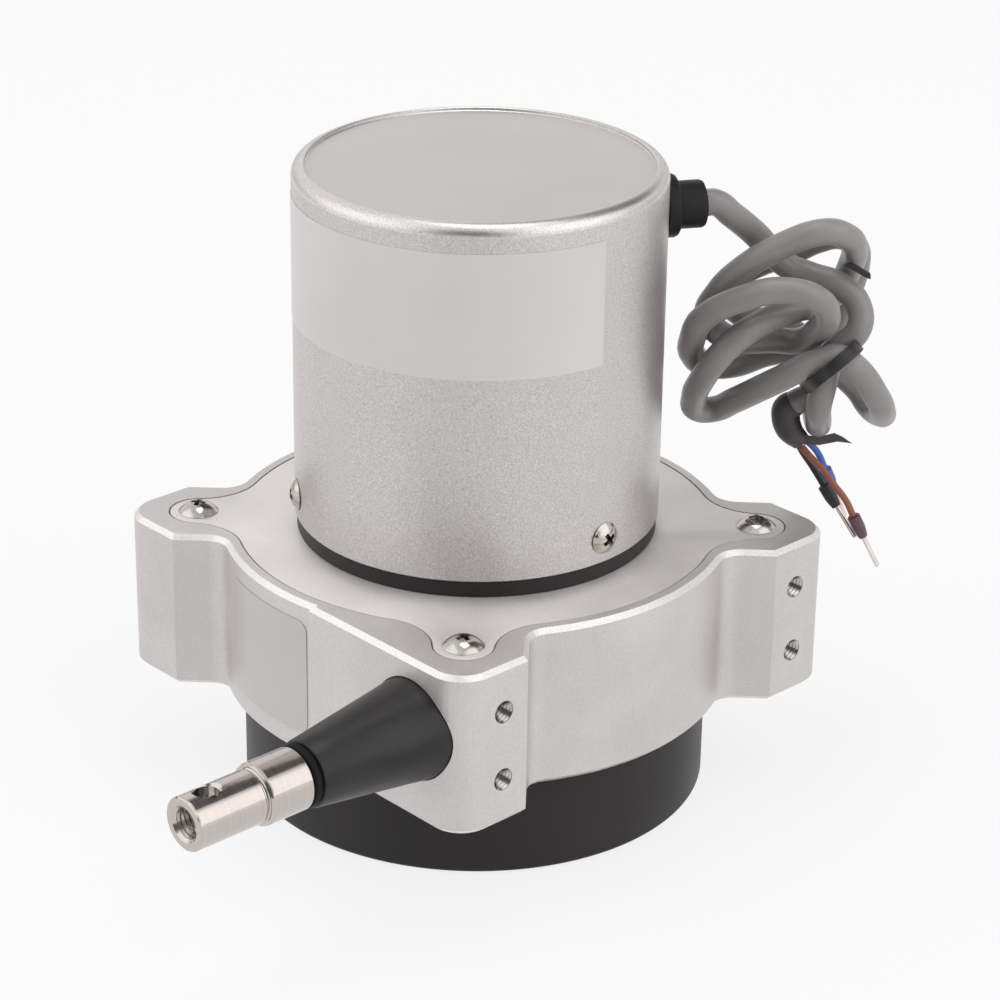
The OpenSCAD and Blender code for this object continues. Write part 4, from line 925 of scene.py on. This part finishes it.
# Tie round the strands, with its head and cut tail
tie = {"centre": (22.8, 0.3, -29), "turn": (-25, -40), "room": 5.3, "half": 4.5, "bow": 0.75, "width": 2.2,
       "thick": 0.6, "tailPlace": (25.4, 1.4, -11.6),
       "tail": [(-1.4, 0.6), (0.0, 1.0), (3.2, -0.9), (3.3, -1.9), (2.4, -1.6)]}


def tiePlace():
    return (cablePlace @ shift(*tie["centre"]) @ turn(tie["turn"][0], "X") @ turn(tie["turn"][1], "Y"))


def tieLoop(grow):  # a long loop with slightly bowed sides
    across, along, bow = tie["room"] + grow, tie["room"] + tie["half"] + grow, tie["bow"]
    return [(across * math.copysign(abs(x) ** bow, x), along * math.copysign(abs(y) ** bow, y))
            for x, y in arc(0, 0, 1, 0, 360, 64)[:-1]]


def makeTie():
    band = slab("tieBand", tieLoop(tie["thick"]), -tie["width"] / 2, tie["width"] / 2)
    inside = slab("tieHole", tieLoop(0), -5, 5)
    cutAway(band, inside)
    rounded(band, 0.15, 50)
    moved(band, tiePlace())
    tail = slab("tieTail", tie["tail"], -0.35, 0.35)
    rounded(tail, 0.1, 50)
    moved(tail, cablePlace @ shift(*tie["tailPlace"]) @ turn(90, "X"))
    band = joined(band, tail)
    smooth(band, 35)
    finishPiece(band, housing, "tieBlack", replaces=("cable_tie",))
    return band


tieBand = makeTie()


def alongLead(route):  # a place at the lead's end, +Z going on along it
    last, before = onCable(route[-1]), onCable(route[-2])
    way = (last - before).normalized()
    return Matrix.Translation(last) @ way.to_track_quat("Z", "X").to_matrix().to_4x4()


def makeLeadEnds():
    ends = []
    for i, (lead, route) in enumerate(cable["leads"].items()):
        r, long = cable["collarRadius"], cable["collarLength"]
        collar = turned(lead + "Collar", [(0, 0), (r - 0.2, 0), (r, 0.2), (r, long * 0.55),
                                          (r * 0.86, long * 0.8), (r * 0.7, long), (0, long)], 32)
        moved(collar, alongLead(route))
        smooth(collar, 30)
        finishPiece(collar, housing, "collar" if lead == "brown" else lead)
        pin = turned(lead + "Pin", [(0, long), (cable["pinRadius"], long),
                                    (cable["pinRadius"], long + cable["pinLength"] - 0.2),
                                    (cable["pinRadius"] - 0.15, long + cable["pinLength"]),
                                    (0, long + cable["pinLength"])], 24)
        moved(pin, alongLead(route))
        smooth(pin, 30)
        finishPiece(pin, housing, "tin")
        ends += [collar, pin]
    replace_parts(ends[0], "lead_collars")
    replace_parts(ends[1], "lead_pins")
    return ends


leadEnds = makeLeadEnds()


def makeSleeve():  # a tube that changes its size along the route
    obj = strand("cableSleeve", cable["sleeve"], 1, 6, cable["sleeveRadii"])
    pickOnly(obj)
    bpy.ops.object.convert(target="MESH")
    smooth(bpy.context.object, 40)
    flap = slab("sleeveFlap", cable["flap"], -0.12, 0.12)
    moved(flap, cablePlace @ shift(*cable["flapPlace"]) @ turn(70, "X") @ turn(8, "Y"))
    obj = joined(obj, flap)
    finishPiece(obj, housing, "sleeveBlack", replaces=("cable_sleeve",))
    return obj


sleeve = makeSleeve()
print("cable ends made")


# Free wire between the outlet and the wire head
freeWire = {"radius": 0.35, "from": 6.95, "to": 71, "drumSide": 31.83, "height": 34, "rings": 60,
            "stretchFrom": 64, "stretchTo": 68.5}


def makeWire():
    clearPick()
    long = freeWire["to"] - freeWire["from"]
    bpy.ops.mesh.primitive_cylinder_add(vertices=16, radius=freeWire["radius"] * mm, depth=long * mm,
                                        location=(0, 0, 0))
    wire = bpy.context.object
    wire.name = wire.data.name = "measuringWire"
    settle(wire)
    for i in range(1, freeWire["rings"]):
        pickOnly(wire)
        setMode("EDIT")
        pickAll()
        bpy.ops.mesh.bisect(plane_co=(0, 0, long * mm * (i / freeWire["rings"] - 0.5)), plane_no=(0, 0, 1))
        setMode("OBJECT")
    moved(wire, shift(freeWire["drumSide"], -(freeWire["from"] + freeWire["to"]) / 2, freeWire["height"])
          @ turn(90, "X"))
    smooth(wire, 40)
    wire.data.materials.append(finishes["wire"])
    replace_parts(wire, "draw_wire")
    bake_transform(wire)


makeWire()
print("free wire made")


# Return spring: its inner turn goes round with the arbor, the rest stays in the cap
powerSpring = {"inner": 6.5, "outer": 27.1, "turns": 9, "thick": 0.4, "low": 4.5, "width": 10,
               "angle": 20, "innerHook": 4.5, "outerHook": 28.8, "stepsInTurn": 30}


def springPoint(r, turned):
    a = math.radians(powerSpring["angle"] + 360 * turned)
    return (r * math.cos(a), r * math.sin(a), powerSpring["low"])


def springLength(name, first, last, body):  # between two counts of turns from the arbor
    growth = (powerSpring["outer"] - powerSpring["inner"]) / powerSpring["turns"]
    steps = int((last - first) * powerSpring["stepsInTurn"])
    line = [springPoint(powerSpring["inner"] + growth * (first + i / powerSpring["stepsInTurn"]),
                        first + i / powerSpring["stepsInTurn"]) for i in range(steps + 1)]
    if first == 0:
        line.insert(0, springPoint(powerSpring["innerHook"], 0))
    if last == powerSpring["turns"]:
        line.append(springPoint(powerSpring["outerHook"], 0))
    strip = startAt(name, line[0])
    drawLine(line)
    pickAll()
    bpy.ops.mesh.extrude_region_move(TRANSFORM_OT_translate={"value": (0, 0, powerSpring["width"] * mm)})
    tidyFaces()
    modified(strip, "SOLIDIFY", thickness=powerSpring["thick"] * mm, offset=0,
             use_even_offset=True)
    setMode("EDIT")
    tidyFaces()
    smooth(strip, 30)
    finishPiece(strip, body, "springSteel")
    return strip


springLength("springInnerTurn", 0, 1, drum)
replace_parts(springLength("springCoils", 1, powerSpring["turns"], housing), "power_spring")
print("spring made")


# Finishes for the nodes that keep their own shape
nodeFinishes = {
    "blackScrew": ("cap_screws",),
    "steel": ("spring_arbor", "drum_shaft", "shaft_clip", "potentiometer_shaft", "drum_set_screw",
              "coupling_screws"),
    "bearing": ("lower_bearing_outer", "lower_bearing_inner", "lower_bearing_balls",
                "upper_bearing_outer", "upper_bearing_inner", "upper_bearing_balls"),
    "drumAluminium": ("wire_drum", "sensor_plate", "shaft_coupling"),
    "wire": ("wire_winding",), "ceramic": ("wire_guide",), "felt": ("felt_wiper",),
    "copper": ("wire_crimp",), "nickel": ("plate_screws", "potentiometer_nut", "board_screws"),
    "brass": ("sensor_pillars", "board_posts"), "potBlue": ("potentiometer",),
    "boardGreen": ("circuit_board",), "blockGreen": ("terminal_block",),
    "trimmerBlue": ("trimmers",), "chip": ("signal_chip",), "capacitor": ("capacitors",),
    "glandPlastic": ("gland_nut",), "jacket": ("cable_entry",), "brown": ("inner_leads",),
}
for mark, names in nodeFinishes.items():
    for name in names:
        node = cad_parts[name]
        node.data.materials.clear()
        node.data.materials.append(finishes[mark])
print("nodes finished")


# Blank labels
labels = {
    "can": {"radius": 30.84, "low": 84, "high": 105, "from": -3, "to": -130, "thick": 0.08},
    "body": {"radius": 43.02, "low": 22, "high": 42.5, "from": -82, "to": -112, "thick": 0.1,
             "corner": 2.0},
}


def makeCanLabel():
    facts = labels["can"]
    strip = startAt("canLabel", (facts["radius"], 0, facts["low"]))
    drawLine([(facts["radius"], 0, facts["low"]), (facts["radius"], 0, facts["high"])])
    pickAll()
    bpy.ops.mesh.spin(steps=72, angle=math.radians(abs(facts["to"] - facts["from"])), center=(0, 0, 0),
                      axis=(0, 0, 1))
    tidyFaces()
    moved(strip, turn(facts["to"], "Z"))
    # spin may run either way round, so it is set by where the strip lies
    middle = sum((v.co for v in strip.data.vertices), Vector()) / len(strip.data.vertices)
    wanted = math.radians((facts["to"] + facts["from"]) / 2)
    found = math.atan2(middle.y, middle.x)
    moved(strip, turn(math.degrees(wanted - found), "Z"))
    modified(strip, "SOLIDIFY", thickness=facts["thick"] * mm, offset=-1)
    setMode("EDIT")
    tidyFaces()
    smooth(strip, 30)
    finishPiece(strip, housing, "canLabel")


makeCanLabel()


def makeBodyLabel():  # follows the round wall, with rounded corners
    facts = labels["body"]
    r, low, high, c = facts["radius"], facts["low"], facts["high"], facts["corner"]
    a, b = (facts["radius"] * math.radians(facts[key]) for key in ("to", "from"))
    flat = (arc(b - c, low + c, c, -90, 0, 6) + arc(b - c, high - c, c, 0, 90, 6)
            + arc(a + c, high - c, c, 90, 180, 6) + arc(a + c, low + c, c, 180, 270, 6))
    sheet = slab("bodyLabel", [(x, z) for x, z in flat], 0, facts["thick"])
    pickOnly(sheet)
    for i in range(1, 30):  # enough columns to bend
        setMode("EDIT")
        pickAll()
        bpy.ops.mesh.bisect(plane_co=((a + (b - a) * i / 30) * mm, 0, 0), plane_no=(1, 0, 0))
        setMode("OBJECT")
    for spot in sheet.data.vertices:  # wrapped round the wall
        along, up, out = spot.co.x / r, spot.co.y, spot.co.z + r * mm
        angle = along / mm
        spot.co = (out * math.cos(angle), out * math.sin(angle), up)
    setMode("EDIT")
    tidyFaces()
    smooth(sheet, 30)
    finishPiece(sheet, housing, "bodyLabel")


makeBodyLabel()
print("labels made")


# Plain floor, soft lamps and pale surroundings
studio = {
    "floorSize": 60, "floorColour": (0.8, 0.8, 0.8, 1), "floorWhite": 0.8,
    # from straight down to straight up, how bright the room is
    "room": ((0.0, 0.8), (0.498, 0.8), (0.502, 0.06), (0.528, 0.06), (0.54, 0.98), (0.75, 1.0), (1.0, 0.84)),
    # darker patches of the room: direction, where each is full and where it ends, brightness
    "shades": (((-0.05, 0.62, 0.78), 0.93, 0.85, 0.12), ((0.66, -0.62, 0.42), 0.93, 0.82, 0.12)),
    "lamps": {
        "leftBox": {"spot": (-0.5, -0.9, 0.6), "size": 1.5, "power": 3.5},
        "rightBox": {"spot": (0.95, 0.15, 0.6), "size": 1.5, "power": 4.9},
        "topBox": {"spot": (0.0, 0.1, 1.1), "size": 0.5, "power": 2.0}},
}


def seenDirectly(nodes, links, share):  # camera, mirror and see-through rays
    path = nodes.new("ShaderNodeLightPath")
    total = path.outputs["Is Camera Ray"]
    for ray in ("Is Glossy Ray", "Is Transmission Ray"):
        either = nodes.new("ShaderNodeMath")
        either.operation = "MAXIMUM"
        links.new(total, either.inputs[0])
        links.new(path.outputs[ray], either.inputs[1])
        total = either.outputs["Value"]
    part = nodes.new("ShaderNodeMath")
    part.operation = "MULTIPLY"
    part.inputs[1].default_value = share
    links.new(total, part.inputs[0])
    return part.outputs["Value"]


def makeStudio():
    clearPick()
    bpy.ops.mesh.primitive_plane_add(size=studio["floorSize"], location=(0, 0, -0.0002))
    floor = bpy.context.object
    floor.name = "studioFloor"
    material, nodes, links, shader = newMaterial("paleFloor")
    shader.inputs["Base Color"].default_value = studio["floorColour"]
    shader.inputs["Roughness"].default_value = 0.9
    glow = nodes.new("ShaderNodeEmission")
    glow.inputs["Color"].default_value = (1, 1, 1, 1)
    glow.inputs["Strength"].default_value = 1.0
    mix = nodes.new("ShaderNodeMixShader")
    links.new(seenDirectly(nodes, links, studio["floorWhite"]), mix.inputs["Fac"])
    links.new(shader.outputs["BSDF"], mix.inputs[1])
    links.new(glow.outputs["Emission"], mix.inputs[2])
    links.new(mix.outputs["Shader"], nodes["Material Output"].inputs["Surface"])
    floor.data.materials.append(material)

    world = bpy.data.worlds.new("paleRoom")
    bpy.context.scene.world = world
    world.use_nodes = True
    nodes, links = world.node_tree.nodes, world.node_tree.links
    room = nodes["Background"]
    coords = nodes.new("ShaderNodeTexCoord")
    parts = nodes.new("ShaderNodeSeparateXYZ")
    links.new(coords.outputs["Generated"], parts.inputs["Vector"])
    height = spread(nodes, links, parts.outputs["Z"], 0, 1, -1, 1)
    ramp = nodes.new("ShaderNodeValToRGB")
    knots = ramp.color_ramp.elements
    for i, (where, bright) in enumerate(studio["room"]):
        knot = knots[0] if i == 0 else knots[1] if i == 1 else knots.new(where)
        knot.position = where
        knot.color = (bright, bright * 0.99, bright * 0.985, 1)
    links.new(height, ramp.inputs["Fac"])
    colour = ramp.outputs["Color"]
    for towards, inner, outer, bright in studio["shades"]:
        facing = nodes.new("ShaderNodeVectorMath")
        facing.operation = "DOT_PRODUCT"
        facing.inputs[1].default_value = Vector(towards).normalized()
        links.new(coords.outputs["Generated"], facing.inputs[0])
        shade = spread(nodes, links, facing.outputs["Value"], 1.0, bright, outer, inner)
        darker = nodes.new("ShaderNodeVectorMath")
        darker.operation = "SCALE"
        links.new(colour, darker.inputs[0])
        links.new(shade, darker.inputs["Scale"])
        colour = darker.outputs["Vector"]
    links.new(colour, room.inputs["Color"])
    room.inputs["Strength"].default_value = 1.0

    for name, facts in studio["lamps"].items():
        clearPick()
        aim = (Vector((0, 0, 0.05)) - Vector(facts["spot"])).to_track_quat("-Z", "Y")
        bpy.ops.object.light_add(type="AREA", location=facts["spot"], rotation=aim.to_euler())
        lamp = bpy.context.object
        lamp.name = name
        lamp.data.shape = "SQUARE"
        lamp.data.size = facts["size"]
        lamp.data.energy = facts["power"]
    bpy.context.scene.view_settings.view_transform = "Standard"


makeStudio()
print("studio set")
